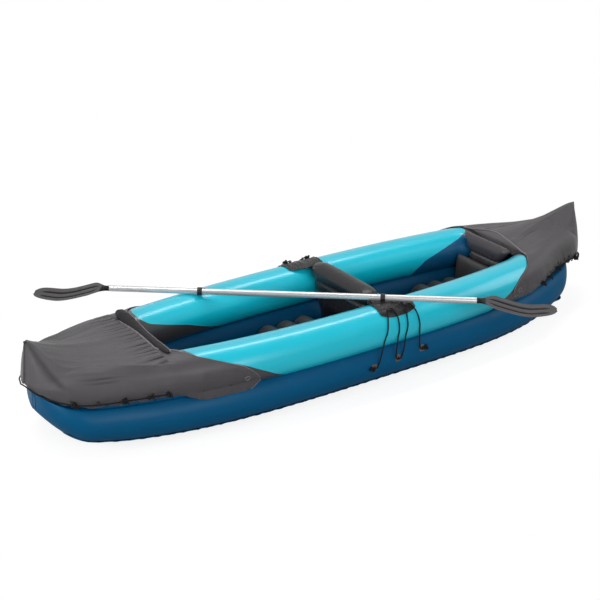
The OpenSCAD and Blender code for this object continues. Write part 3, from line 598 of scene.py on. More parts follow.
def folds_group():
    """Slack folds: long soft creases that run across the stretch direction."""
    tree, given = shade_group("Slack folds", ("Height",), Vector=None, Stretch=(4.0, 18.0, 10.0))
    place = add(tree, "ShaderNodeVectorMath", given["Vector"], given["Stretch"], operation="MULTIPLY")
    cloud = noise(tree, place.outputs[0], 1.0, Detail=2.0, Distortion=0.6)
    ridge = maths(tree, "ABSOLUTE", maths(tree, "SUBTRACT", cloud, 0.5))
    add(tree, "NodeGroupOutput", Height=maths(tree, "POWER", maths(tree, "MULTIPLY", ridge, 3.0), 0.7))


def scuff_group():
    """Faint scuffs and dust, as a mask."""
    tree, given = shade_group("Scuffs", ("Mask",), Vector=None, Scale=14.0)
    cloud = noise(tree, given["Vector"], given["Scale"], Detail=6.0, Roughness=0.7)
    add(tree, "NodeGroupOutput", Mask=ramp(tree, cloud, 0.52, 0.78))


def strand_waves(tree, given, distances):
    """Waves at the group's pitch over distances."""
    turns = [maths(tree, "DIVIDE", d, given["Pitch"]) for d in distances]
    return [maths(tree, "SINE", maths(tree, "MULTIPLY", t, 2 * math.pi)) for t in turns]


def weave_group():
    """Plain weave seen through a coating, from the piece's own lay of lengths."""
    tree, given = shade_group("Coated weave", ("Height",), Lay=None, Pitch=0.0016)
    lay = add(tree, "ShaderNodeSeparateXYZ", given["Lay"]).outputs
    add(tree, "NodeGroupOutput", Height=maths(tree, "MULTIPLY", *strand_waves(tree, given, lay[:2])))


def braid_group():
    """Diagonal strands of a braided cord, from its own lay of lengths."""
    tree, given = shade_group("Braid", ("Height",), Lay=None, Pitch=0.004)
    lay = add(tree, "ShaderNodeSeparateXYZ", given["Lay"]).outputs
    slants = [maths(tree, operation, lay[0], lay[1]) for operation in ("ADD", "SUBTRACT")]
    add(tree, "NodeGroupOutput", Height=maths(tree, "MAXIMUM", *strand_waves(tree, given, slants)))


class Paint:
    """One material in the making: a Principled shader with the shared groups to hand."""

    def __init__(self, name, roughness, **inputs):
        material = bpy.data.materials.new(name)
        material.use_nodes = True
        self.tree = material.node_tree
        self.bsdf = self.tree.nodes["Principled BSDF"]
        self.bsdf.inputs["Coat Roughness"].default_value = 0.22
        for key, value in inputs.items():
            self.bsdf.inputs[key.replace("_", " ")].default_value = value
        self.rough = roughness
        self.where = add(self.tree, "ShaderNodeTexCoord").outputs["Object"]
        self.normal = None

    def group(self, name, **values):
        """The outputs of a shared group."""
        n = add(self.tree, "ShaderNodeGroup", node_tree=bpy.data.node_groups[name])
        for key, value in values.items():
            n.inputs[key].default_value = value
        if "Vector" in n.inputs:
            wire(self.tree, n.inputs["Vector"], self.where)
        if "Lay" in n.inputs:
            wire(self.tree, n.inputs["Lay"], add(self.tree, "ShaderNodeUVMap", uv_map="lay").outputs[0])
        return n.outputs

    def field(self, name):
        """A field that the piece's mesh carries."""
        return add(self.tree, "ShaderNodeAttribute", attribute_name=name).outputs["Fac"]

    def mask(self, name, width=0.0008):
        """1 where a field is above 0, with a clean edge of the given width, and the field itself."""
        field = self.field(name)
        return ramp(self.tree, field, -width, width), field

    def worn(self, tint, share, light, **scuffs):
        """A tint that scuffs make lighter, or darker."""
        mask = maths(self.tree, "MULTIPLY", self.group("Scuffs", **scuffs)["Mask"], share)
        return mix_colour(self.tree, mask, tint, scaled(tint, light))

    def bump(self, height, distance, strength=1.0):
        n = add(self.tree, "ShaderNodeBump", Strength=strength, Distance=distance, Height=height,
                Normal=self.normal)
        self.normal = n.outputs[0]

    def done(self, tint, gloss=None, swing=0.12, dull=None):
        """Sets the tint, the bumps and a roughness that swings with the gloss and rises where it is dull."""
        rough = self.rough
        if gloss is not None:
            rough = ramp(self.tree, gloss, 0.3, 0.7, (rough - swing / 2, rough + swing / 2), "LINEAR")
        if dull is not None:
            rough = maths(self.tree, "ADD", rough, maths(self.tree, "MULTIPLY", dull, 0.6), True)
        for key, value in (("Base Color", tint), ("Roughness", rough), ("Normal", self.normal)):
            wire(self.tree, self.bsdf.inputs[key], value)


def vinyl(name, tint, roughness, fold, stretch=(4.0, 18.0, 10.0), light=1.35, coat=0.0, specular=0.35):
    """Plain vinyl sheet: grain, slack folds, scuffs and a slow change of gloss."""
    p = Paint(name, roughness, Coat_Weight=coat, Specular_IOR_Level=specular)
    grain = p.group("Vinyl grain")
    p.bump(grain["Height"], 0.00012)
    p.bump(p.group("Slack folds", Stretch=stretch)["Height"], fold)
    p.done(p.worn(tint, 0.5, light), grain["Gloss"])


def welded_vinyl(name, tint, roughness):
    """Vinyl of a welded air cushion: the weld field is the distance from its weld lines, which are paler."""
    p = Paint(name, roughness, Coat_Weight=0.15, Specular_IOR_Level=0.35)
    grain = p.group("Vinyl grain")
    line = ramp(p.tree, p.field("weld"), 0.0012, 0.0032, (1.0, 0.0))
    p.bump(grain["Height"], 0.0001)
    p.bump(line, 0.0008)
    p.bump(p.group("Slack folds", Stretch=(10.0, 8.0, 20.0))["Height"], 0.0012)
    pale = maths(p.tree, "MULTIPLY", line, 0.7)
    p.done(mix_colour(p.tree, pale, p.worn(tint, 0.5, 1.5), scaled(tint, 3.0)), grain["Gloss"])


def tube_vinyl(name):
    """Upper tubes: turquoise, with end panels and a navy lower strip that the piece's fields mark out."""
    f = sizes("finish")
    p = Paint(name, 0.4, Coat_Weight=0.95, Specular_IOR_Level=0.35)
    grain = p.group("Vinyl grain")
    panel, from_panel = p.mask("panel")
    strip, from_strip = p.mask("strip")
    inner, _ = p.mask("inner")
    tint = p.worn(f.turquoise, 0.3, 1.2, Scale=9.0)
    tint = mix_colour(p.tree, panel, tint, mix_colour(p.tree, inner, f.panel, f.navy))
    tint = mix_colour(p.tree, strip, tint, f.navy)
    near = [maths(p.tree, "ABSOLUTE", d) for d in (from_panel, from_strip)]
    weld = ramp(p.tree, maths(p.tree, "MINIMUM", *near), 0.0, 0.004, (1.0, 0.0))
    p.bump(grain["Height"], 0.00006)
    p.bump(weld, 0.0012, 0.8)
    dark = maths(p.tree, "MULTIPLY", weld, 0.35)
    p.done(mix_colour(p.tree, dark, tint, scaled(f.cover, 0.45)), grain["Gloss"])


def cover_cloth(name, tint, roughness, fold=0.0, coat=0.0, specular=0.5):
    """Coated cloth: weave under a dull coat, soft folds, worn places, and painted shade in the creases that a
    field marks out, where the cloth is also rougher.
    """
    p = Paint(name, roughness, Sheen_Weight=0.05, Coat_Weight=coat, Specular_IOR_Level=specular)
    painted_shade = p.field("crease")
    p.bump(p.group("Coated weave")["Height"], 0.00018, 0.7)
    if fold:
        p.bump(p.group("Slack folds", Stretch=(5.0, 14.0, 16.0))["Height"], fold, 0.6)
    # painted shade: the tint darkens with the crease field, down to 0.15 of itself
    p.done(mix_colour(p.tree, painted_shade, p.worn(tint, 0.4, 1.4, Scale=7.0), scaled(tint, 0.15)),
           p.group("Vinyl grain", Scale=500.0)["Gloss"], 0.1, painted_shade)


def cord_braid(name, tint):
    p = Paint(name, 0.7, Specular_IOR_Level=0.2)
    strands = p.group("Braid")["Height"]
    p.bump(strands, 0.0004)
    lit = ramp(p.tree, strands, -0.2, 1.0, kind="LINEAR")
    p.done(mix_colour(p.tree, lit, scaled(tint, 0.6), scaled(tint, 2.2)))


def moulded(name, tint, roughness):
    """Moulded plastic or rubber: fine texture, and scuffs that catch the light."""
    p = Paint(name, roughness)
    grain = p.group("Vinyl grain", Scale=700.0, Patch=20.0)
    p.bump(grain["Height"], 0.00015)
    p.done(p.worn(tint, 0.4, 1.8, Scale=40.0), grain["Gloss"], 0.2)


def blade_plastic(name, tint):
    """Moulded blade plastic with painted shade in the grooves, and a darker neck, which the piece's field
    marks out.
    """
    p = Paint(name, 0.5, Specular_IOR_Level=0.14)
    grain = p.group("Vinyl grain", Scale=450.0, Patch=20.0)
    p.bump(grain["Height"], 0.0002)
    painted_shade, _ = p.mask("groove", 0.5)
    # painted shade in the grooves, and the darker neck, down to 0.12 of the tint
    groove_shade = ramp(p.tree, painted_shade, 0.5, 1.0, kind="LINEAR")
    worn = p.worn(tint, 0.4, 1.7, Scale=30.0)
    p.done(mix_colour(p.tree, groove_shade, worn, scaled(tint, 0.12)), grain["Gloss"], 0.2)


def metal(name, tint, roughness):
    """Drawn metal tube: fine lines along the shaft and small marks."""
    p = Paint(name, roughness, Metallic=0.6)
    lines = add(p.tree, "ShaderNodeMapping", Vector=p.where, Rotation=(0.0, 0.0, -sizes("paddle").turn),
                Scale=(6.0, 1400.0, 1400.0))
    drawn = noise(p.tree, lines.outputs[0], 1.0, Detail=2.0)
    p.bump(drawn, 0.00004)
    p.done(p.worn(tint, 0.3, 0.7, Scale=60.0), drawn, 0.14)


def make_materials():
    for make in (grain_group, folds_group, scuff_group, weave_group, braid_group, stitch_tree, rib_tree,
                 ring_tree):
        make()
    f = sizes("finish")
    tube_vinyl("upper_tube_vinyl")
    vinyl("lower_tube_vinyl", f.navy, 0.42, 0.0005, (2.0, 6.0, 14.0), specular=0.14)
    vinyl("floor_vinyl", f.floor, 0.5, 0.0008, specular=0.12)
    vinyl("seat_vinyl", f.cushion, 0.42, 0.0012, (22.0, 7.0, 12.0), 1.5, coat=0.2)
    vinyl("roll_vinyl", f.backrest, 0.5, 0.0014, (10.0, 16.0, 20.0), 1.5, specular=0.16)
    welded_vinyl("front_back_vinyl", scaled(f.backrest, 0.8), 0.38)
    welded_vinyl("rear_back_vinyl", scaled(f.backrest, 2.6), 0.4)
    cover_cloth("cover_cloth", f.cover, 0.38, 0.0012, specular=0.35)
    cover_cloth("flap_cloth", scaled(f.backrest, 0.5), 0.3, 0.003, 0.1, 0.35)
    # paler cover cloth for the piping, the tails' edges and rings, and the strips on the roll and the rear
    # backrest, whose paleness is partly painted highlight
    cover_cloth("piping_cloth", scaled(f.cover, 2.4), 0.5)
    cover_cloth("patch_cloth", f.patch, 0.5)
    # painted light: the cover cloth four times lighter, for the light that falls inside the stern
    cover_cloth("lining_cloth_painted_light", scaled(f.cover, 4.0), 0.6, 0.002)
    cover_cloth("thread", scaled(f.cover, 1.6), 0.6)
    cord_braid("cord_braid", f.black)
    moulded("loop_plastic", f.black, 0.4)
    moulded("valve_plastic", f.valve, 0.4)
    moulded("cap_plastic", scaled(f.valve, 1.9), 0.42)
    moulded("collar_rubber", f.black, 0.55)
    blade_plastic("blade_plastic", f.blade)
    metal("shaft_metal", f.silver, 0.3)
    metal("button_metal", scaled(f.silver, 0.8), 0.25)


# Geometry node trees for what repeats


def node_tree(name, **inputs):
    """A new tree with a geometry, a material and further named inputs."""
    tree = bpy.data.node_groups.new(name, "GeometryNodeTree")
    tree.interface.new_socket("Geometry", in_out="OUTPUT", socket_type="NodeSocketGeometry")
    inputs = {"Geometry": "NodeSocketGeometry", "Material": "NodeSocketMaterial", **inputs}
    for label, kind in inputs.items():
        tree.interface.new_socket(label, in_out="INPUT", socket_type=kind)
    return tree, tree.nodes.new("NodeGroupInput").outputs


def close_tree(tree, given, points, instance, rotation, scale=None):
    """Sets the instance on the points and ends in realised geometry with its material."""
    place = add(tree, "GeometryNodeInstanceOnPoints", Points=points, Instance=instance, Rotation=rotation,
                Scale=scale)
    real = add(tree, "GeometryNodeRealizeInstances", place.outputs[0])
    paint = add(tree, "GeometryNodeSetMaterial", Geometry=real.outputs[0], Material=given["Material"])
    add(tree, "NodeGroupOutput", paint.outputs[0])


def facing_points(tree):
    """Rotation that turns Z to the points' facing and X to their along."""
    turned = None
    for key, axis, pivot in (("facing", "Z", "AUTO"), ("along", "X", "Z")):
        named = add(tree, "GeometryNodeInputNamedAttribute", data_type="FLOAT_VECTOR", Name=key)
        turned = add(tree, "FunctionNodeAlignRotationToVector", axis=axis, pivot_axis=pivot, Rotation=turned,
                     Vector=named.outputs["Attribute"]).outputs[0]
    return turned


def stitch_tree():
    """Stitches at an even pitch along a line."""
    tree, given = node_tree("Stitch row", Pitch=VALUE, Size=VECTOR)
    curve = add(tree, "GeometryNodeMeshToCurve", given["Geometry"])
    points = add(tree, "GeometryNodeCurveToPoints", mode="LENGTH", Curve=curve.outputs[0],
                 Length=given["Pitch"]).outputs
    bead = add(tree, "GeometryNodeMeshUVSphere", Segments=6, Rings=4)
    close_tree(tree, given, points["Points"], bead.outputs[0], points["Rotation"], given["Size"])


def rib_tree():
    """Small blocks that stand on points."""
    tree, given = node_tree("Ribs", Size=VECTOR)
    block = add(tree, "GeometryNodeMeshCube", Size=given["Size"])
    close_tree(tree, given, given["Geometry"], block.outputs[0], facing_points(tree))


def ring_tree():
    """Eyelet rings that lie on points."""
    tree, given = node_tree("Eyelets", Radius=VALUE, Wire=VALUE)
    circles = [add(tree, "GeometryNodeCurvePrimitiveCircle", Resolution=count, Radius=given[label]).outputs[0]
               for label, count in (("Radius", 24), ("Wire", 8))]
    ring = add(tree, "GeometryNodeCurveToMesh", Curve=circles[0], Profile_Curve=circles[1])
    close_tree(tree, given, given["Geometry"], ring.outputs[0], facing_points(tree))


def grown(name, tree, points, material, body, slot, edges=(), facing=(), along=(), **values):
    """Grows a tree's pieces on points, and keeps them as one plain mesh."""
    seed = bpy.data.meshes.new(name)
    seed.from_pydata(np.asarray(points).tolist(), list(edges), [])
    for key, rows in (("facing", facing), ("along", along)):
        if len(rows):
            layer = seed.attributes.new(key, "FLOAT_VECTOR", "POINT")
            layer.data.foreach_set("vector", np.ravel(rows).astype(np.float32))
    obj = link(name, seed)
    grow = obj.modifiers.new("grow", "NODES")
    grow.node_group = bpy.data.node_groups[tree]
    values["Material"] = mat(material)
    for item in grow.node_group.interface.items_tree:
        if item.in_out == "INPUT" and item.name in values:
            grow[item.identifier] = values[item.name]
    obj.update_tag()
    bpy.context.view_layer.update()
    mesh = bpy.data.meshes.new_from_object(obj.evaluated_get(bpy.context.evaluated_depsgraph_get()))
    obj.modifiers.clear()
    obj.data = mesh
    if not mesh.polygons:
        raise RuntimeError(name + " grew nothing")
    smooth(mesh)
    return dress(obj, material, body, slot)


def stitched(name, lines, body, slot):
    """Stitch rows along lines of points."""
    edges = []
    first = 0
    for line in lines:
        edges += [(first + i, first + i + 1) for i in range(len(line) - 1)]
        first += len(line)
    return grown(name, "Stitch row", np.concatenate(lines), "thread", body, slot, edges,
                 Pitch=0.0075, Size=(0.0007, 0.0007, 0.0024))


# Hull

# length of one degree round an upper tube
ARC = 0.0018
# where the turquoise ends on an upper tube: degrees from outboard over the top, distance from the middle
BOW_PANEL = ((-120, 0.45), (-58, 0.504), (-16, 0.628), (14, 0.736), (36, 0.84), (60, 0.938), (85, 0.965),
             (98, 0.974), (125, 0.96), (147, 0.916), (165, 0.812), (180, 0.71), (205, 0.6), (240, 0.45))
STERN_PANEL = ((-120, 0.66), (-50, 0.69), (-18, 0.714), (-11, 0.768), (3, 0.814), (31, 0.886), (52, 0.965),
               (80, 1.015), (106, 1.015), (132, 0.952), (153, 0.85), (178, 0.72), (205, 0.67), (240, 0.66))
# open edge of a cover's side, in the same way
BOW_TAIL = ((-90, 0.71), (-58, 0.675), (-38, 0.664), (-18, 0.684), (0, 0.718), (14, 0.754), (36, 0.85),
            (60, 0.945), (85, 0.99), (90, 0.995))
STERN_TAIL = ((-90, 0.9), (-30, 0.868), (-15, 0.832), (0, 0.826), (12, 0.846), (31, 0.9), (52, 0.975),
              (80, 1.022), (90, 1.03))


def panel_edge(table, angle, least=-120):
    """An edge round the tube as a smooth line, from a table of angles and distances."""
    degrees = (np.degrees(angle) - least) % 360 + least
    grid = np.arange(least, least + 361, 1.0)
    line = np.interp(grid, *zip(*table))
    kernel = np.hanning(19)
    padded = np.concatenate([line[-10:-1], line, line[1:10]]) if least == -120 else np.pad(line, 9, "edge")
    line = np.convolve(padded, kernel / kernel.sum(), "valid")
    return np.interp(degrees, grid, line)


class KAYAK_OT_upper_tubes(bpy.types.Operator):
    """Upper tubes with their end panels"""

    bl_idname = "kayak.upper_tubes"
    bl_label = "Upper tubes"

    def execute(self, context):
        b = Lines()
        bow, stern, dome = -b.bow_dome, b.stern_dome, b.h.dome_len
        x = np.concatenate([np.linspace(bow - dome, bow, 30)[:-1], np.linspace(bow, stern, 330),
                            np.linspace(stern, stern + dome, 30)[1:]])[:, None]
        a = around(112)
        s = b.up_s(x)
        z = np.maximum(b.up_z(x) + b.ur * s * np.sin(a), b.web(x) + WEB_HALF)
        rows = xyz(x, b.up_y(x) + b.ur * s * b.up_sec(x) * np.cos(a), z)
        reach = np.abs(x)
        panel = reach - np.where(x < 0, panel_edge(BOW_PANEL, a), panel_edge(STERN_PANEL, a))
        degrees = np.degrees(a)
        low = (degrees + 180) % 360 - 180
        strip = np.minimum((-30 - low) * ARC, reach - np.where(x < 0, 0.985, 0.9))
        strip = np.where(np.abs(low) < 91, strip, -0.02)
        inner = np.where((x > 0.3) & (degrees < 250), np.minimum((degrees - 118) * ARC, 1.0 - x), -0.02)
        lift = 0.0007 * ease(panel / 0.004)
        pucker = 0.0009 * ripple(x, 0.037, 1.3) * bell((low + 62) / 9)
        pucker = pucker + 0.0009 * ripple(x, 0.041, 4.1) * bell((low + 117) / 9)
        rows = rows + row_normals(rows, True) * (lift + pucker)[..., None]
        for name, side in SIDES:
            piece("upper_tube_skin_" + name, mirrored(rows, side), "upper_tube_vinyl", "hull",
                  "tube_turquoise", "upper_tube_" + name, panel=panel, strip=strip, inner=inner)
        return {"FINISHED"}


class KAYAK_OT_lower_tubes(bpy.types.Operator):
    """Lower tubes"""

    bl_idname = "kayak.lower_tubes"
    bl_label = "Lower tubes"

    def execute(self, context):
        b = Lines()
        bow, stern, taper = -b.bow_close, b.stern_close, b.h.lower_taper
        fore = bow - taper * np.sin(np.linspace(np.pi / 2, 0, 40))
        aft = stern + taper * np.sin(np.linspace(0, np.pi / 2, 40))
        x = np.concatenate([fore[:-1], np.linspace(bow, stern, 300), aft[1:]])[:, None]
        a = around(96)
        o = b.low_out(x)
        i = b.low_in(x)
        c = np.cos(a)
        wide = np.where(c < 0, np.sign(c) * np.power(np.abs(c), 1 - 0.6 * b.low_e(x)), c)
        z = np.minimum(b.low_z(x) + b.low_rz(x) * np.sin(a), b.web(x) - WEB_HALF)
        rows = xyz(x, (o + i) / 2 + (o - i) / 2 * wide, z)
        degrees = np.degrees(a)
        pucker = 0.0008 * ripple(x, 0.043, 2.2) * (bell((degrees - 58) / 10) + bell((degrees - 300) / 12))
        rows = rows + row_normals(rows, True) * pucker[..., None] * (1 - b.low_e(x))[..., None]
        for name, side in SIDES:
            piece("lower_tube_skin_" + name, mirrored(rows, side), "lower_tube_vinyl", "hull", "tube_navy",
                  "lower_tube_" + name)
        return {"FINISHED"}


class KAYAK_OT_bottom(bpy.types.Operator):
    """Bottom sheet with its uneven welded flange"""

    bl_idname = "kayak.bottom"
    bl_label = "Bottom sheet"

    def execute(self, context):
        b = Lines()
        past = 0.58 * b.h.lower_taper
        x = np.linspace(-(b.bow_close + past), b.stern_close + past, 420)
        o = b.low_out(x)
        i = b.low_in(x)
        c = (o + i) / 2
        w = (o - i) / 2
        rz = b.low_rz(x)
        zt = b.low_z(x) - rz
        ys = [(c - 0.55 * w) * q for q in np.linspace(0, 1, 5)]
        zs = [zt - b.h.keel_drop + b.h.sheet_t] * len(ys)
        for share in (0.0, 0.15, 0.3, 0.4, 0.5):
            ys.append(c + share * w)
            zs.append(zt + rz * (1 - np.sqrt(1 - share ** 2)) - (0.0007 if share == 0 else 0.0022))
        weld = zs[-1]
        ragged = b.h.flange_w * (0.8 + 0.22 * ripple(x, 0.11, 0.7) + 0.14 * ripple(x, 0.028, 2.9))
        ragged = ragged + 0.03 * bell((x - 1.33) / 0.03)
        wave = 0.0022 * ripple(x, 0.06, 5.0)
        for t in (0.35, 0.7, 1.0):
            ys.append(c + 0.5 * w + ragged * t)
            zs.append(weld + 0.45 * ragged * t + wave * t * t)
        line = np.stack([xyz(x, y, z) for y, z in zip(ys, zs)], 1)
        rows = np.concatenate([mirrored(line, -1)[:, :0:-1], line], 1)
        under = rows - np.array([0, 0, b.h.sheet_t * 0.96])
        rows = np.concatenate([rows, under[:, ::-1]], 1)
        rows[..., 2] = np.maximum(rows[..., 2], 0.0)
        piece("bottom_skin", rows, "lower_tube_vinyl", "hull", "tube_navy", "bottom_sheet")
        return {"FINISHED"}


class KAYAK_OT_floor(bpy.types.Operator):
    """Inflated floor with long flutes"""

    bl_idname = "kayak.floor"
    bl_label = "Floor"

    def execute(self, context):
        b = Lines()
        x = (b.h.floor_reach * np.sin(np.linspace(-np.pi / 2, np.pi / 2, 260)))[:, None]
        flutes = b.h.floor_flutes
        u = np.linspace(1, -1, 24 * flutes + 1)[None, :]
        e = b.floor_end(x)
        width = (b.in_at(x, b.floor_z(x) + 0.75 * b.h.floor_t) - 0.006) * e
        arch = np.sqrt(np.abs(np.sin(np.pi * flutes * ((1 - u) / 2))))
        height = b.h.floor_t * e
        side = ease((np.abs(u) - 0.93) / 0.07)
        z = b.floor_z(x) + height * ((0.8 + 0.2 * arch) * (1 - side) + 0.45 * side)
        z = z + 0.0012 * ripple(x, 0.05, 1.0) * bell((arch - 0.25) / 0.3) * (1 - side)
        low = np.array([-0.97, -0.86, -0.5, 0, 0.5, 0.86, 0.97])[None, :]
        z0 = b.floor_z(x) + np.where(np.abs(low) > 0.9, 0.14, 0.0) * height
        rows = np.concatenate([xyz(x, width * u, z), xyz(x, width * low, z0)], 1)
        piece("floor_air_pad", rows, "floor_vinyl", "hull", "floor_navy", "floor_pad")
        return {"FINISHED"}


# Covers and roll


class KAYAK_OT_covers(bpy.types.Operator):
    """Laced end covers: one cloth each, with tails on the tubes, a ridge, gathers and folds"""

    bl_idname = "kayak.covers"
    bl_label = "End covers"

    # points across the skirt below the cord, the side on the tube and half of the crown
    SKIRT, SIDE, CROWN = 12, 60, 50

    def execute(self, context):
        b = Lines()
        for name, end in ENDS:
            self.cover(b, name, end)
        return {"FINISHED"}

    def half(self, b, end, s):
        """The starboard half. Also each point's distance along the boat, place across (0 to 1 side, 1 to 2
        crown) and angle."""
        off = b.c.thickness
        last = b.hl - 0.001
        tail = BOW_TAIL if end < 0 else STERN_TAIL
        low, tail_low, foot = (-20, -38, -33) if end < 0 else (-14, -18, -34)
        v = np.linspace(0, 1, self.SKIRT, endpoint=False)[None, :]
        u = np.linspace(0, 1, self.SIDE)[None, :]
        t = np.linspace(0, 1, self.CROWN)[None, 1:]

        def along(start):
            return start + (last - start) * s

        def first(angle):
            return panel_edge(tail + ((240, tail[-1][1]),), np.radians(angle), -90)

        def hem(x):
            h = ease((1.06 - x) / 0.14)
            return h, np.radians(low + (tail_low - low) * h)

        x0 = along(first(-90 + (tail_low + 90) * v))
        h, a1 = hem(x0)
        wrap = b.deck_at(x0, end, np.radians(foot) + (a1 - np.radians(foot)) * v, off)
        if end < 0:
            rest = b.low_at(end * x0, np.radians(36), 0.0045)
            hang = rest + (b.deck_at(x0, end, a1, off) - rest) * v[..., None]
            wrap = wrap * (1 - h[..., None]) + hang * h[..., None]
        x1 = along(first(tail_low + (90 - tail_low) * u))
        a1 = hem(x1)[1]
        top = b.deck_wrap(x1, end, off)[5]
        angle = a1 + (top - a1) * u
        side = b.deck_at(x1, end, angle, off)
        start = tail[-1][1]
        x2 = along(start + (b.edge[end] - start) * ease(t / 0.3))
        crown = b.deck_crown(x2, end, t, off)
        place = np.concatenate([0.2 * (v - 1), u, 1 + t], 1) + 0 * s
        degrees = np.concatenate([np.full(x0.shape, -45.0), np.degrees(angle), np.full(x2.shape, 100.0)], 1)
        return np.concatenate([wrap, side, crown], 1), np.concatenate([x0, x1, x2], 1), place, degrees

    def shift(self, b, end, rows, x, w, degrees):
        """How far folds stand out from the plain cloth, and how much painted shade each point gets from the
        creases it lies in.
        """
        d = x - b.edge[end]
        tip = b.hl - x
        over = ease((w - 0.55) / 0.3)
        sway = 0.0024 * ripple(rows[..., 1] / (tip + 0.2), 0.17, 1.7 + end)
        out = sway * over * ease(d / 0.06) * ease(tip / 0.15)
        out = out + 0.003 * ripple(x, 0.043, 0.9 + end) * np.exp(-np.maximum(w + 0.2, 0) / 0.12)
        out = out + 0.0012 * ripple(x + 0.0006 * degrees, 0.11, 3.3) * ease(1 - w) * ease((x - 0.7) / 0.1)
        if end < 0:
            return self.bow_folds(b, rows, x, w, degrees, out, d, over)
        return self.stern_folds(x, w, degrees, out, d, tip)

    def bow_folds(self, b, rows, x, w, degrees, out, d, over):
        """Ridge from the back edge to the tip, gathers behind the roll, stem folds and side creases."""
        across = rows[..., 1]
        z = rows[..., 2]
        line = np.interp(x, (0.99, 1.118, 1.348, 1.42, 1.5, 1.58, 1.624),
                         (0.6, 0.655, 0.89, 1.0, 1.3, 1.72, 2.0))
        ridge = np.exp(-np.abs(w - line) / 0.1) * ease((x - 1.0) / 0.14) * ease(0.25 + (b.hl - x) / 0.03)
        pleat = np.sin(np.pi * (across + 0.009 * ripple(across, 0.13, 2.0)) / 0.036)
        pleat = np.power(np.abs(pleat), 0.7) - 0.6
        gather = np.exp(-np.square(d / 0.085)) * over * ease(d / 0.01)
        rise = np.clip((z - 0.315) / 0.19, 0, 1)
        fold = b.hl - 0.012 - 0.1 * np.power(1 - rise, 1.2)
        stem = bell((x - fold) / 0.016) * ease((z - 0.3) / 0.05) * (1 - ease((w - 1.8) / 0.2))
        crease = (bell((degrees - 41) / 2.6) + 0.7 * bell((degrees - 31) / 2.4)) * bell((x - 1.37) / 0.07)
        out = out + 0.0085 * ridge + 0.013 * pleat * gather - 0.007 * stem - 0.0036 * crease
        out = out - 0.0016 * bell((degrees - 23 + (x - 0.81) * 600) / 9) * bell((x - 0.79) / 0.03)
        # painted shade in the pleat valleys behind the roll, in the stem fold and in the side creases
        painted_shade = 1.3 * gather * ease((0.05 - pleat) / 0.6) + 0.45 * stem + 0.6 * crease
        return out, np.clip(painted_shade, 0, 0.9)

    def stern_folds(self, x, w, degrees, out, d, tip):
        """Full shoulders, a ridge beside the middle, ruches above the cord and one seam."""
        line = np.interp(x, (1.04, 1.2, 1.4, 1.624), (1.5, 1.62, 1.85, 2.0))
        ruche = ripple(x + 0.0008 * degrees, 0.036, 2.0)
        ruche = ruche * np.exp(-np.maximum(w, 0) / 0.1) * ease((x - 1.15) / 0.1)
        seam = bell((w - 1.47 - 0.5 * (x - 1.2)) / 0.012) * bell((x - 1.2) / 0.09)
        out = out + 0.007 * ease(d / 0.16) * ease(tip / 0.05) * bell((w - 1.15) / 0.5)
        out = out + 0.005 * np.exp(-np.abs(w - line) / 0.07) * ease(d / 0.03) * ease(tip / 0.12)
        out = out + 0.0034 * ruche - 0.002 * seam
        out = out + 0.006 * bell((x - 1.5 - 0.06 * (w - 1)) / 0.045) * bell((w - 0.9) / 0.6)
        # the second value is painted shade in the valleys between the ruches, with the seam line darker too
        return out, np.clip(0.8 * ease(-2 * ruche) + 0.8 * seam, 0, 0.9)

    def cover(self, b, name, end):
        s = np.concatenate([np.linspace(0, 0.82, 140), np.linspace(0.82, 1, 46)[1:]])[:, None]
        half, x, w, degrees = self.half(b, end, s)
        rows = np.concatenate([half, mirrored(half, -1)[:, -2::-1]], 1)
        x, w, degrees = (np.concatenate([v, v[:, -2::-1]], 1) for v in (x, w, degrees))
        normal = row_normals(rows, False) * end
        # the folds' shift, and the painted shade that the cloth carries as its crease field
        shift, painted_shade = self.shift(b, end, rows, x, w, degrees)
        rows = rows + normal * (shift - 0.0006)[..., None]
        drawn = 0.007 * np.abs(np.sin(np.pi * x / 0.11 + 0.4)) * np.exp(-(w + 0.2) / 0.05)
        rows[..., 2] += drawn * ease((b.hl - x) / 0.05) * ease((x - 1.0) / 0.1)
        soft, below = (0.006, 0.006) if end < 0 else (0.009, 0.014)
        blunt = b.c.tip_height - below
        under = np.clip((blunt - rows[..., 2]) / soft, -30, 60)
        rows[..., 2] = blunt - soft * np.log1p(np.exp(under)) + soft / 2
        cloth = piece(name + "_cover", rows, "cover_cloth", "hull", "cover_grey", name + "_deck",
                      form="fold", crease=painted_shade)
        thicken(cloth, CLOTH_T)
        trim = self.binding(name, end, rows) + self.sewing(name, rows, normal, x)

    def sewing(self, name, rows, normal, x):
        """Stitch rows beside the open edge, and eyelet rings above the cord and in the tails."""
        lines = [rows[i, 2:-2] + 0.0005 * normal[i, 2:-2] for i in (3, 5)]
        made = [stitched(name + "_cover_stitches", lines, "hull", "cover_grey")]
        spots = [(int(np.abs(x[:, col] - reach).argmin()), col)
                 for col in (self.SKIRT + 4, -self.SKIRT - 5) for reach in (1.17, 1.29, 1.4, 1.5)]
        tails = [(10, self.SKIRT + 8), (10, -self.SKIRT - 9)]
        for label, at, material, radius, wire_r in (
                ("eyelets", spots, "loop_plastic", 0.0055, 0.0014),
                ("tail_rings", tails, "piping_cloth", 0.011, 0.0022)):
            i, j = zip(*at)
            facing = normal[i, j]
            points = rows[i, j] + 0.0008 * facing
            made.append(grown(name + "_cover_" + label, "Eyelets", points, material, "hull", "cover_grey",
                              facing=facing, along=np.cross(facing, (0, 0, 1)), Radius=radius, Wire=wire_r))
        return made

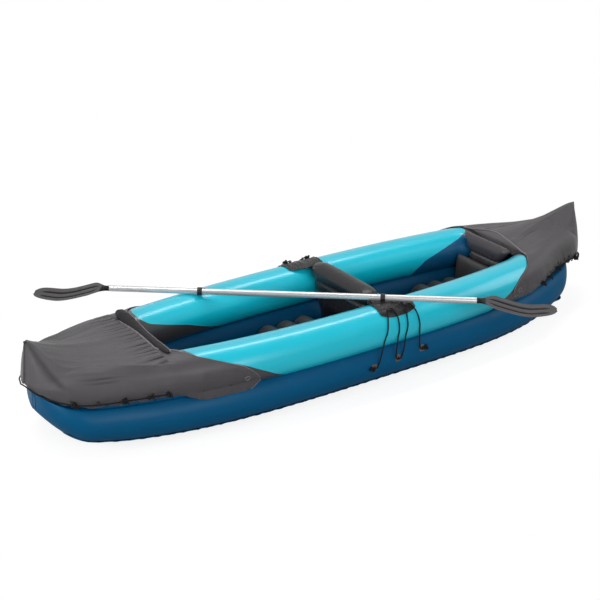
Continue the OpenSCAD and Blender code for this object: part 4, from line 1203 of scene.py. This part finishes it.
    def binding(self, name, end, rows):
        """Piping along the arch, a thin pale edge round the tails and a rolled hem along the foot."""
        n = self.SKIRT + self.SIDE
        arch = rows[0, n - 4:-n + 4] + np.array([end * 0.001, 0, -0.001])
        hem = np.concatenate([rows[3:, 0], rows[::-1, -1][:-3]])
        return [strand(name + "_cover_" + label, line, radius, cloth, "hull", "cover_grey")
                for label, line, radius, cloth in (
                    ("piping", arch, 0.0042, "piping_cloth"), ("hem", hem, 0.0022, "cover_cloth"),
                    ("edge_starboard", rows[0, :n - 3], 0.0015, "piping_cloth"),
                    ("edge_port", rows[0, -n + 3:], 0.0015, "piping_cloth"))]


class KAYAK_OT_roll(bpy.types.Operator):
    """Padded roll behind the bow cover, fatter to starboard"""

    bl_idname = "kayak.roll"
    bl_label = "Bow roll"

    def execute(self, context):
        b = Lines()
        r = b.c.roll_dia / 2
        place = -(b.edge[-1.0] - r - 0.0008)
        w = b.up_y(place) + 0.008
        u = np.sin(np.linspace(-np.pi / 2, np.pi / 2, 110))[:, None]
        a = around(56)
        s = np.sqrt(np.maximum(0.02, 1 - np.power(np.abs(u), 10)))
        s = s * (1 + 0.04 * ripple(u * w + 0.006 * np.sin(a), 0.045, 1.1) * bell((np.cos(a) - 0.5) / 0.6))
        s = s * (1 - 0.07 * bell((np.abs(u) - 0.88) / 0.05))
        lean = ease((u + 1) / 2)
        tall = r * (0.46 + 0.4 * lean)
        wide = r * (0.74 + 0.56 * lean)
        place = place + np.maximum(0, wide - r)
        z = b.up_z(-b.edge[-1.0]) + b.ur + REST_GAP + tall + 0.0006 - 0.012 * (1 - u * u)
        rows = xyz(place + wide * s * np.cos(a), w * u, z + tall * s * np.sin(a))
        piece("bow_roll_pad", rows, "roll_vinyl", "hull", "cushion_grey", "bow_roll")
        # a pale strip along the roll's back edge: partly a welded edge, partly painted highlight
        line = rows[6:-6, 5] + np.array([0.0012, 0, 0.0004])
        strand("bow_roll_edge_highlight", line, 0.0026, "piping_cloth", "hull", "cushion_grey")
        return {"FINISHED"}


# Seats, backrests and flaps


def cushion_section(x, half, z0, height, count):
    """Rings of a seat cushion: crowned top, drawn-in sides and a flat foot."""
    u = np.linspace(1, -1, count)[None, :]
    top_y = half * np.sign(u) * np.power(np.abs(u), 0.8)
    top_z = z0 + height * (0.42 + 0.58 * np.sqrt(np.maximum(0, 1 - np.power(np.abs(u), 4))))
    foot = np.array([-0.97, -0.93, -0.8, -0.4, 0, 0.4, 0.8, 0.93, 0.97])[None, :]
    foot_z = z0 + height * np.interp(np.abs(foot), [0, 0.8, 0.93, 0.97], [0, 0, 0.12, 0.25])
    return np.concatenate([xyz(x, top_y, top_z), xyz(x, half * foot, foot_z)], 1)


def pillow_rows(x, z, half, thick, count):
    """Rings of an upright cushion: front face, then back face."""
    v = np.linspace(1, -1, count)[None, :]
    u = np.sign(v) * np.power(np.abs(v), 0.7)
    bulge = np.sqrt(np.maximum(0.02, 1 - np.power(np.abs(u), 8)))
    front = xyz(x - thick * bulge, half * u, z)
    back = xyz(x + thick * bulge, half * u, z)
    return np.concatenate([front, back[:, ::-1]], 1)


class KAYAK_OT_seats(bpy.types.Operator):
    """Seat cushions with welded cross channels, and the lumbar cushion"""

    bl_idname = "kayak.seats"
    bl_label = "Seats"

    # points across the top of a seat
    ACROSS = 91

    def execute(self, context):
        b = Lines()
        s = sizes("seats")
        for name, x0, length in (("front_seat", s.front_x, s.front_len), ("rear_seat", s.rear_x, s.rear_len)):
            t = np.linspace(0, 1, 48 * s.channels + 1)[:, None]
            x = x0 + length * t
            wave = np.abs(np.sin(np.pi * s.channels * t))
            half = (b.in_at(x, b.low_z0) - s.side_gap) * (0.94 + 0.06 * wave)
            height = s.height * (0.45 + 0.55 * np.sqrt(wave))
            rows = cushion_section(x, half, b.floor_top(x) + REST_GAP, height, self.ACROSS)
            pucker = 0.0016 * ripple(rows[..., 1], 0.034, 1.9) * bell(wave / 0.45)
            rows[:, :self.ACROSS, 2] += pucker[:, :self.ACROSS]
            self.cushion(name + "_air_cushion", rows, name)
        place = s.rear_x + s.rear_len + 0.003 + s.lumbar_t / 2
        foot = b.floor_top(place + s.lumbar_t / 2) + REST_GAP
        t = (1 - np.cos(np.linspace(0, np.pi, 70)))[:, None] / 2
        e = np.abs(2 * t - 1)
        half = (b.in_at(place + s.lumbar_t / 2, b.low_z0) - s.side_gap) * (1 - 0.05 * e ** 4)
        thick = s.lumbar_t / 2 * np.sqrt(1 - 0.9 * e ** 4)
        rows = pillow_rows(place, foot + (s.lumbar_top - foot) * t, half, thick, 61)
        self.cushion("lumbar_air_cushion", rows, "lumbar_cushion")
        return {"FINISHED"}

    def cushion(self, name, rows, node):
        piece(name, rows, "seat_vinyl", "hull", "cushion_dark", node)


class KAYAK_OT_backrests(bpy.types.Operator):
    """Leaning backrests: an air roll over a welded cross seam, above a panel and a skirt"""

    bl_idname = "kayak.backrests"
    bl_label = "Backrests"

    def execute(self, context):
        b = Lines()
        s = sizes("seats")
        place = s.front_back_x
        self.backrest(b, s, "front", place, place, s.front_back_top, s.front_back_t / 2, 0.009)
        aft = s.rear_back_x + s.rear_back_t / 2 + 0.024
        rows = self.backrest(b, s, "rear", s.rear_back_x, aft, s.rear_back_top, s.rear_back_t / 2, 0.008)
        # a pale flange along the rear backrest's top: partly a welded flange, partly painted highlight
        line = (rows[-1, 3:98] + rows[-1, ::-1][3:98]) / 2 + np.array([0, 0, 0.0006])
        strand("rear_back_flange_highlight", line, 0.0022, "piping_cloth", "rear_back", "cushion_grey")
        self.lining(b)
        return {"FINISHED"}

    def width(self, b, s, aft, z, top):
        """Half width: between the tubes, then out over their inner shoulders, with rounded ears."""
        level = np.where(z - 0.012 > b.up_z(aft), z - 0.012, b.low_z0)
        e = np.maximum(0, (z - top) / 0.045 + 1)
        return np.minimum(s.back_width / 2, b.in_at(aft, level) - s.side_gap) * (1 - 0.3 * e ** 4)

    def thickness(self, s, z, foot, top, half_t, skirt_t):
        """Half thickness: thin skirt, padded panel, pinched cross seam, then a full roll."""
        seam = top - s.seam_drop
        u = (z - seam) / s.seam_drop
        panel = skirt_t + (0.8 * half_t - skirt_t) * ease(((z - foot) / (seam - foot) - 0.2) / 0.45)
        low = 0.8 + 0.2 * np.sqrt(np.maximum(0, 1 - np.square(1 - 2 * u)))
        high = np.sqrt(np.maximum(0.04, 1 - 0.96 * np.square(2 * u - 1)))
        base = np.where(u < 0, panel, half_t * np.where(u < 0.5, low, high))
        base = base - np.maximum(0, base - 0.6 * half_t) * bell((z - seam) / 0.009)
        return np.where(z < foot + 0.004, 0.004 + (base - 0.004) * (z - foot) / 0.004, base)

    def backrest(self, b, s, name, place, aft, top, half_t, skirt_t):
        foot = b.floor_top(place) + 0.00075
        seam = top - s.seam_drop
        roll = np.sin(np.linspace(0, np.pi / 2, 44))
        z = np.concatenate([np.linspace(foot, seam - 0.03, 60)[:-1],
                            np.linspace(seam - 0.03, seam + 0.03, 41)[:-1],
                            seam + 0.03 + (s.seam_drop - 0.03) * roll])[:, None]
        half = self.width(b, s, aft, z, top)
        if name == "rear":
            half = half + 0.012 * ease((z - seam) / 0.03) * ease((top - z) / 0.01)
        rows = pillow_rows(place, z, half, self.thickness(s, z, foot, top, half_t, skirt_t), 101)
        y = rows[..., 1]
        u = np.abs(y) / half
        fade = np.sqrt(np.maximum(0, 1 - u ** 8)) * ease((z - foot) / 0.05)
        fold = 0.0021 * ripple(y, 0.031, 1.4) * bell((z - seam) / 0.02)
        fold = fold + 0.0026 * ripple(y + 0.3 * z, 0.085, 3.0) * bell((z - seam + 0.07) / 0.05)
        ears = 0.0022 * ripple(z + 0.15 * u, 0.034, 0.5)
        fold = fold + ears * ease((u - 0.62) / 0.3) * ease((z - seam) / 0.02)
        rows[..., 0] += np.sign(rows[..., 0] - place) * (fold - 0.0018) * fade
        weld = np.minimum(np.abs(z - seam - 0.0065), np.abs(z - seam + 0.0065)) + 0 * y
        pillow = piece(name + "_back_pillow", rows, name + "_back_vinyl", name + "_back", "cushion_grey",
                       name + "_backrest", weld=weld)
        return rows

    def lining(self, b):
        """Cloth that hangs from the stern cover's arch behind the rear backrest, four times lighter than the
        cover: painted light for the light inside the stern.
        """
        t = np.linspace(-1, 1, 61)[:, None]
        v = np.linspace(0, 1, 14)[None, :]
        x = b.edge[1.0] + 0.006
        arch = b.deck_crown(np.full(t.shape, x), 1.0, 1 - 0.94 * np.abs(t), -0.001)
        y = arch[..., 1] * np.sign(t) * (1 - 0.12 * v)
        z = arch[..., 2] + (0.335 - arch[..., 2]) * v * (1 - np.abs(t) ** 6)
        rows = xyz(x + 0.03 * v + 0.003 * ripple(y, 0.06, 1.2) * v, y, z)
        cloth = piece("stern_lining", rows, "lining_cloth_painted_light", "hull", "cover_grey", form="open")
        thicken(cloth, 0.0012)


def flap_start(s, side):
    """Front edge of a flap; the starboard one lies further forward."""
    return s.flap_x - (s.flap_skew if side > 0 else 0.0)


class KAYAK_OT_flaps(bpy.types.Operator):
    """Flaps of the front backrest, gathered at its roll and draped over both tubes"""

    bl_idname = "kayak.flaps"
    bl_label = "Flaps"

    def execute(self, context):
        b = Lines()
        s = sizes("seats")
        u = np.linspace(-1, 1, 90)[:, None]
        for name, side in SIDES:
            lap = self.lap(b, s, u, side)
            rows = mirrored(np.concatenate([self.bridge(s, u, side, lap), lap], 1), side)
            rows = rows[:, ::-1] if side < 0 else rows
            obj = link("flap_cloth_" + name, grid_mesh("flap_cloth_" + name, rows, "open"))
            thicken(obj, CLOTH_T)
            obj.data.materials.append(mat("flap_cloth"))
            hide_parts("flap_" + name)
            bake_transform(obj)
            seam = np.concatenate([lap[3, 6:-4], lap[3:-3, -4], lap[-4, 6:-4][::-1]])
            out = unit(seam - b.up_at(seam[:, 0], 0.0, -b.ur))
            stitched("flap_stitches_" + name, [mirrored(seam + 0.0006 * out, side)], "hull", "cover_grey")
        return {"FINISHED"}

    def lap(self, b, s, u, side):
        """The part that lies on the tube, with folds that leave the collar's place flat."""
        k = np.linspace(0, 1, 60)[None, :]
        x = flap_start(s, side) + s.flap_len / 2 * (1 + u)
        inner = 112 - 4 * u * u
        a = np.radians(inner + (38 + 13 * np.abs(u) ** 3 - inner) * k)
        fold = 0.0036 * ripple(u + 0.05 * k, 0.36, 0.8 + side) * (1 - 0.5 * k)
        fold = fold + 0.0022 * ripple(k + 0.2 * u, 0.22, 2.0)
        off = COVER_GAP + s.flap_t - 0.0004
        flat = b.up_at(x, a, off)
        rest = np.hypot(flat[..., 0] - 0.072, flat[..., 1] - 0.298)
        fold = np.maximum(fold, -0.0006) * (1 - bell(rest / 0.04))
        return b.up_at(x, a, off + fold)

    def bridge(self, s, u, side, lap):
        """The part between the backrest's roll and the tube."""
        j = np.linspace(0, 1, 26)[None, :-1]
        h = j[..., None]
        start = xyz(s.front_back_x + 0.03 * u, 0.222, 0.414 - 0.006 * u * u)
        leave = np.array([0, 0.045, -0.075])
        arrive = np.array([0, 0.05, 0.012])
        rows = (start * (1 + 2 * h) * (1 - h) ** 2 + leave * h * (1 - h) ** 2
                + lap[:, :1] * h * h * (3 - 2 * h) + arrive * h * h * (h - 1))
        rows[..., 2] += 0.0035 * ripple(u, 0.42, 0.8 + side) * ease(j / 0.25) * (1 - 0.3 * j)
        return rows


# Cords

TAB_ANGLES = (1, 8, 15)


def tab_places(s, side):
    """Where the lacing's three tabs are along the boat."""
    x0 = flap_start(s, side)
    return x0 - 0.046, x0 + 0.095, x0 + s.flap_len + 0.038


def lace_route(b, side):
    """The lacing's points, drawn to starboard: tabs on the lower tube, eyelets on the flap."""
    s = sizes("seats")
    x0 = flap_start(s, side)
    eye_off = COVER_GAP + s.flap_t + b.loop_off
    tabs = tab_places(s, side)
    eyes = (x0 + 0.044, x0 + 0.073, x0 + s.flap_len - 0.055, x0 + s.flap_len - 0.026)

    def through(i, *steps):
        return [b.low_at(tabs[i] + d, math.radians(TAB_ANGLES[i]), b.loop_off) for d in steps]

    def rise(i, step, to):
        """Up from beside tab i to beside an eyelet, across the seam between the tubes."""
        p = through(i, step)[0]
        xa = tabs[i] + step
        d = to - xa
        q = b.up_at(xa + 0.4 * d, math.radians(-22), 1.9 * b.cord_r)
        return [p + 0.3 * (q - p), q, b.up_at(xa + 0.62 * d, math.radians(8), 1.8 * b.cord_r),
                b.up_at(xa + 0.85 * d, math.radians(36), 2.4 * b.cord_r)]

    points = through(0, -0.018, 0, 0.012)
    for i in (0, 1):
        first, second = eyes[2 * i:2 * i + 2]
        points += rise(i, 0.02, first - 0.01)
        points += [b.up_at(x, math.radians(58), eye_off) for x in (first, second)]
        points += rise(i + 1, -0.02, second + 0.01)[::-1]
        points += through(i + 1, -0.012, 0, 0.018 if i else 0.012)
    return np.array(points)


def hem_route(b, end):
    """The cord's points along a cover's hem, from one side round the stem to the other."""
    edge = b.edge[end]
    level = 1 / 8

    def at(x, u):
        return b.deck_side(np.float64(x), end, u, b.c.thickness) * np.array([end, 1, 1])

    half = []
    for t in (0.06, 0.2, 0.4, 0.6, 0.75, 0.86, 0.94, 0.985):
        x = edge + (b.hl - edge) * t
        along = at(min(x + 0.002, b.hl - 0.001), level) - at(x - 0.002, level)
        n = np.cross(at(x, 2 * level) - at(x, 0.0), along)
        half.append(at(x, level) + (b.loop_off + 0.0003) * n / np.linalg.norm(n))
    half = np.array(half) * np.array([end, 1, 1])
    stem = np.array([[end * (b.hl + b.loop_off), 0, at(b.hl - 0.001, level)[2]]])
    return np.concatenate([half, stem, mirrored(half, -1)[::-1]])


def knot_line(place, size, tilt):
    """A small overhand knot as a closed line."""
    t = np.linspace(0, TURN, 49)
    p = np.stack([np.sin(t) + 2 * np.sin(2 * t), np.cos(t) - 2 * np.cos(2 * t), -np.sin(3 * t)], -1)
    p = p * size / 3
    turn = np.array(Matrix.Rotation(tilt, 3, "X") @ Matrix.Rotation(0.6, 3, "Z"))
    return place + p @ turn.T


class KAYAK_OT_cords(bpy.types.Operator):
    """Lacing beside the front backrest, cords along the covers' hems, their knots and tab patches"""

    bl_idname = "kayak.cords"
    bl_label = "Cords"

    def execute(self, context):
        b = Lines()
        for name, side in SIDES:
            route = lace_route(b, side)
            self.cord(b, "lace_cord_" + name, mirrored(route, side), "lace_" + name)
            ends = route[[0, 7, 21, -1]] if side > 0 else route[[0, -1]]
            self.knots("lace_knots_" + name, mirrored(ends, side), 0.0)
            self.patches(b, name, side)
            paint_nodes("loop_plastic", "lace_tabs_" + name, "lace_eyes_" + name)
        for name, end in ENDS:
            route = hem_route(b, end)
            self.cord(b, name + "_hem_cord", route, name + "_cord")
            self.knots(name + "_hem_knots", route[[0, 1, 2, 4, -5, -3, -2, -1]], 0.016)
            if name == "stern":
                self.zigzag(route)
            paint_nodes("loop_plastic", name + "_loops")
        return {"FINISHED"}

    def cord(self, b, name, points, node):
        strand(name, smooth_line(points, 8), b.cord_r, "cord_braid", "hull", "cord_black", node, sides=10)

    def zigzag(self, route):
        """Thin lacing that crosses the stern's hem cord up and down."""
        line = smooth_line(route, 24)[24:-24:5]
        swing = np.where(np.arange(len(line)) % 2, 1.0, -1.0)[:, None]
        away = line * np.array([0, 1, 0])
        away = away / np.maximum(np.linalg.norm(away, axis=1, keepdims=True), 0.03)
        points = line + swing * np.array([0, 0, 0.009]) + away * 0.004
        strand("stern_hem_lacing", smooth_line(points, 4), 0.0021, "cord_braid", "hull", "cord_black")

    def knots(self, name, places, drop):
        """Knots as one mesh, each with a loose end that hangs down by drop."""
        parts = []
        for i, place in enumerate(places):
            parts.append(grid_mesh("knot", tube_rows(knot_line(place, 0.0125, 0.5 + 0.9 * i), 0.0042)))
            if drop:
                out = np.array([0, np.sign(place[1]), 0])
                end = place + np.array([0 * out, 0.009 * out + [0.006, 0, 0],
                                        0.01 * out + [0.012, 0, -0.5 * drop],
                                        0.008 * out + [0.013, 0, -drop]])
                parts.append(grid_mesh("end", tube_rows(smooth_line(end, 6), 0.0026)))
        dress(link(name, joined(name, parts)), "cord_braid", "hull", "cord_black")

    def patches(self, b, name, side):
        """Square welded patches with round corners under the lacing's tabs."""
        v = np.linspace(-1, 1, 15)
        grid = np.stack(np.meshgrid(v, v, indexing="ij"), -1)
        grid = grid * (1 - 0.13 * np.square(grid[..., ::-1]) * np.square(grid))
        lift = 0.0018 - 0.0012 * ease((np.max(np.abs(grid), -1) - 0.8) / 0.2)
        parts = []
        for x, angle in zip(tab_places(sizes("seats"), side), TAB_ANGLES):
            rows = b.low_at(x + 0.0165 * grid[..., 0], np.radians(angle + 9 * grid[..., 1]), lift)
            parts.append(grid_mesh("patch", mirrored(rows, side), "open"))
        label = "tab_patches_" + name
        dress(link(label, joined(label, parts)), "patch_cloth", "hull", "loop_black")


# Valves and paddle


class KAYAK_OT_valves(bpy.types.Operator):
    """Screw valves, their ribbed caps and the stopper valves"""

    bl_idname = "kayak.valves"
    bl_label = "Valves"

    RIBS = 28

    def execute(self, context):
        paint_nodes("valve_plastic", "upper_valve_port", "upper_valve_starboard", "lower_valve",
                    "floor_valve", "front_back_stopper", "rear_back_stopper")
        for joint in frame["record"]["behaviour"]["joints"]:
            if joint["name"].endswith("_cap_turn") or "_cap_" in joint["name"]:
                paint_nodes("cap_plastic", joint["child"])
                self.ribs(joint)
        return {"FINISHED"}

    def ribs(self, joint):
        """Grip ribs round a screw cap."""
        axis = Vector(joint["axis"]).normalized()
        side = axis.orthogonal().normalized()
        turns = [Matrix.Rotation(TURN * i / self.RIBS, 3, axis) @ side for i in range(self.RIBS)]
        centre = Vector(joint["pos_m"]) + axis * 0.0143
        points = [centre + d * 0.021 for d in turns]
        grown(joint["child"] + "_ribs", "Ribs", points, "cap_plastic", joint["child"], "cap_grey",
              facing=turns, along=[axis] * self.RIBS, Size=(0.008, 0.0018, 0.0016))


def paddle_matrix(b):
    """Place of the paddle: its collar lies on the port flap, its shaft or collar on the starboard tube."""
    p = sizes("paddle")
    port = p.centre_len / 2 + p.collar_w / 2
    port_z = b.up_z0 + b.ur + COVER_GAP + sizes("seats").flap_t - 0.0008 + p.collar_dia / 2 + REST_GAP
    star = (p.place_y - b.h.upper_spread / 2) / -math.sin(p.turn)
    clear = max(0.0, -star - p.centre_len / 2 - 0.0004 - p.collar_w) * math.sin(-p.turn)
    over = max(b.ur + p.shaft_dia / 2, math.sqrt(max(0.0, b.ur ** 2 - clear ** 2)) + p.collar_dia / 2)
    star_z = float(b.up_z(p.place_x + star * math.cos(p.turn))) + REST_GAP + over
    tilt = math.atan((port_z - star_z) / (port - star))
    place = Matrix.Translation((p.place_x, p.place_y, port_z - port * math.tan(tilt)))
    return place @ Matrix.Rotation(p.turn, 4, "Z") @ Matrix.Rotation(-tilt, 4, "Y")


class KAYAK_OT_paddle(bpy.types.Operator):
    """Take-apart paddle: metal shafts, rubber collars and grooved blades"""

    bl_idname = "kayak.paddle"
    bl_label = "Paddle"

    def execute(self, context):
        place = paddle_matrix(Lines())
        paint_nodes("shaft_metal", "centre_shaft")
        for name, turn in (("port", 0.0), ("starboard", math.pi)):
            paint_nodes("shaft_metal", "end_shaft_" + name, "ferrule_" + name)
            paint_nodes("collar_rubber", "collar_" + name)
            paint_nodes("button_metal", "button_" + name, "button_spring_" + name)
            self.blade(name, place @ Matrix.Rotation(turn, 4, "Z"))
        return {"FINISHED"}

    def blade(self, name, place):
        p = sizes("paddle")
        neck = p.shaft_dia / 2 - p.shaft_wall - 0.00005
        root = p.centre_len / 2 + 0.0004 + p.end_len
        tip = 0.9 + 0.1 * np.sin(np.linspace(0, np.pi / 2, 34))
        t = np.concatenate([np.linspace(0, 0.9, 120)[:-1], tip])[:, None]
        a = around(128)
        c = np.cos(a)
        d = np.sin(a)
        grow = np.sin(np.pi / 2 * np.clip(t / 0.26, 0, 1)) ** 2
        past = np.clip((t - 0.26) / 0.74, 0, 1)
        end = p.blade_w / 2 * np.sqrt(np.maximum(0.1, 1 - past ** 10)) * (1 - 0.12 * past)
        width = np.where(t < 0.26, neck + (p.blade_w / 2 - neck) * grow, end)
        thin = np.sin(np.pi / 2 * np.clip(t / 0.3, 0, 1)) ** 1.4
        flat = p.blade_t / 2 * (1 - 0.4 * (t - 0.3) / 0.7)
        thick = np.where(t < 0.3, neck + (p.blade_t / 2 - neck) * thin, flat)
        k = np.clip(t / 0.2, 0, 1)
        z = thick * d * (1 - k * 0.45 * c * c) - p.blade_drop * ease(t / 0.68)
        z = z + p.blade_scoop * k * 0.6 * c * c + p.blade_lift * ease((t - 0.66) / 0.34)
        run = ease((t - 0.12) / 0.12) * ease((0.93 - t) / 0.1)
        groove = bell((np.abs(c) - 0.36) / 0.09) * run
        rib = bell(c / 0.2) * run + 0.6 * bell((np.abs(c) - 0.62) / 0.16) * run
        z = z + np.where(d > 0, 0.0032 * rib - 0.0034 * groove, 0.0016 * rib)
        rows = xyz(root + 0.0004 + p.blade_len * t, width * c, z)
        plug = xyz(root - 0.04, neck * c, neck * d)
        # the groove field: painted shade along the grooves on both faces of the blade, and a darker neck
        dark = np.concatenate([0 * c, groove + ease((0.12 - t) / 0.04)], 0)
        mesh = grid_mesh("blade_shell_" + name, np.concatenate([plug, rows], 0), groove=dark)
        mesh.transform(place)
        dress(link(mesh.name, mesh), "blade_plastic", "paddle", "blade_dark", "blade_" + name)


# Stage

AZIMUTH = math.radians(-33.929)
ELEVATION = math.radians(23.624)
DISTANCE = 6.49066
TARGET = (-0.198055, 0.0, 0.353426)
LENS = 81.22
# place, target, size and watts
LAMPS = {
    "overhead": ((-0.2, 0.5, 3.0), (-0.2, 0.1, 0.2), (4.4, 0.45), 50),
    "front": ((-1.0, -4.8, 2.0), (-0.2, 0, 0.2), (3.4, 2.0), 118),
    "bow": ((-5.2, -0.2, 1.7), (-1.2, 0, 0.3), (1.6, 1.6), 96),
    "stern": ((3.6, -1.6, 2.2), (0.8, 0, 0.3), (2.0, 2.0), 30),
}
FLOOR_HALF = 15.0
FLOOR_Z = -0.0005


class KAYAK_OT_stage(bpy.types.Operator):
    """White floor, soft light and the camera"""

    bl_idname = "kayak.stage"
    bl_label = "Stage"

    def execute(self, context):
        self.camera()
        self.floor()
        self.world()
        for name, (place, target, size, watts) in LAMPS.items():
            data = bpy.data.lights.new(name, "AREA")
            data.shape = "RECTANGLE"
            data.size, data.size_y = size
            data.energy = watts
            self.aim(link(name, data), Vector(place), Vector(place) - Vector(target))
        context.scene.view_settings.view_transform = "Standard"
        return {"FINISHED"}

    def aim(self, obj, place, back):
        obj.location = place
        obj.rotation_euler = back.to_track_quat("Z", "Y").to_euler()

    def camera(self):
        flat = math.cos(ELEVATION)
        back = Vector((math.sin(AZIMUTH) * flat, -math.cos(AZIMUTH) * flat, math.sin(ELEVATION)))
        data = bpy.data.cameras.new("camera")
        data.lens = LENS
        data.sensor_width = 36.0
        data.clip_end = 60.0
        obj = link("camera", data)
        self.aim(obj, Vector(TARGET) + back * DISTANCE, back)
        bpy.context.scene.camera = obj

    def seen(self, tree, place, low, high):
        """1 for what the camera sees straight, and less for reflections of what lies behind the boat."""
        path = add(tree, "ShaderNodeLightPath").outputs
        where = add(tree, "ShaderNodeTexCoord").outputs[place]
        behind = ramp(tree, add(tree, "ShaderNodeSeparateXYZ", where).outputs[1], low, high)
        mirror = maths(tree, "MAXIMUM", path["Is Glossy Ray"], path["Is Transmission Ray"])
        beyond = maths(tree, "MULTIPLY", maths(tree, "MULTIPLY", mirror, behind), 0.65)
        return maths(tree, "MAXIMUM", path["Is Camera Ray"], beyond)

    def floor(self):
        """A grey floor that takes the shadow near the boat and is seen as white further off."""
        mesh = bpy.data.meshes.new("floor_sheet")
        corners = [(x * FLOOR_HALF, y * FLOOR_HALF, FLOOR_Z) for x, y in ((-1, -1), (1, -1), (1, 1), (-1, 1))]
        mesh.from_pydata(corners, [], [(0, 1, 2, 3)])
        paint = bpy.data.materials.new("floor_white")
        paint.use_nodes = True
        tree = paint.node_tree
        seen = self.seen(tree, "Object", -0.6, 1.2)
        near = tree.nodes["Principled BSDF"]
        glow = maths(tree, "MULTIPLY", seen, 0.8)
        for key, value in (("Base Color", (0.34, 0.34, 0.34)), ("Roughness", 0.9),
                           ("Specular IOR Level", 0.0), ("Emission Color", (1, 1, 1)),
                           ("Emission Strength", glow)):
            wire(tree, near.inputs[key], value)
        where = add(tree, "ShaderNodeTexCoord").outputs["Object"]
        share = add(tree, "ShaderNodeVectorMath", where, (1 / 2.3, 1 / 1.6, 0), operation="MULTIPLY")
        away = add(tree, "ShaderNodeVectorMath", share.outputs[0], operation="LENGTH").outputs["Value"]
        fade = maths(tree, "MULTIPLY", ramp(tree, away, 0.55, 1.0), seen)
        white = add(tree, "ShaderNodeEmission", Strength=1.0)
        mix = add(tree, "ShaderNodeMixShader", fade, near.outputs[0], white.outputs[0])
        wire(tree, tree.nodes["Material Output"].inputs["Surface"], mix.outputs[0])
        mesh.materials.append(paint)
        link("floor_sheet", mesh)

    def world(self):
        """White where it is seen, and dimmer as a light."""
        world = bpy.data.worlds.new("studio")
        world.use_nodes = True
        tree = world.node_tree
        mix = add(tree, "ShaderNodeMix", self.seen(tree, "Generated", -0.3, 0.35), None, 0.24, 1.0)
        wire(tree, tree.nodes["Background"].inputs["Strength"], mix.outputs[0])
        wire(tree, tree.nodes["Background"].inputs["Color"], (1, 1, 1))
        bpy.context.scene.world = world


class KAYAK_PT_panel(bpy.types.Panel):
    """Lists the kayak's pieces"""

    bl_idname = "KAYAK_PT_panel"
    bl_label = "Tandem kayak"
    bl_space_type = "VIEW_3D"
    bl_region_type = "UI"
    bl_category = "Kayak"

    def draw(self, context):
        for operator in OPERATORS:
            self.layout.operator(operator.bl_idname)


GROUPS = {"kayak_hull": KayakHull, "kayak_covers": KayakCovers, "kayak_seats": KayakSeats,
          "kayak_paddle": KayakPaddle, "kayak_finish": KayakFinish}
OPERATORS = (KAYAK_OT_stage, KAYAK_OT_upper_tubes, KAYAK_OT_lower_tubes, KAYAK_OT_bottom, KAYAK_OT_floor,
             KAYAK_OT_covers, KAYAK_OT_roll, KAYAK_OT_seats, KAYAK_OT_backrests, KAYAK_OT_flaps,
             KAYAK_OT_cords, KAYAK_OT_valves, KAYAK_OT_paddle)


def register():
    for name, group in GROUPS.items():
        bpy.utils.register_class(group)
        setattr(bpy.types.Scene, name, PointerProperty(type=group))
    for item in (*OPERATORS, KAYAK_PT_panel):
        bpy.utils.register_class(item)


def unregister():
    for item in reversed((*OPERATORS, KAYAK_PT_panel)):
        bpy.utils.unregister_class(item)
    for name, group in GROUPS.items():
        delattr(bpy.types.Scene, name)
        bpy.utils.unregister_class(group)


def main():
    register()
    make_materials()
    for operator in OPERATORS:
        group, name = operator.bl_idname.split(".")
        getattr(getattr(bpy.ops, group), name)()


if __name__ == "__main__":
    main()
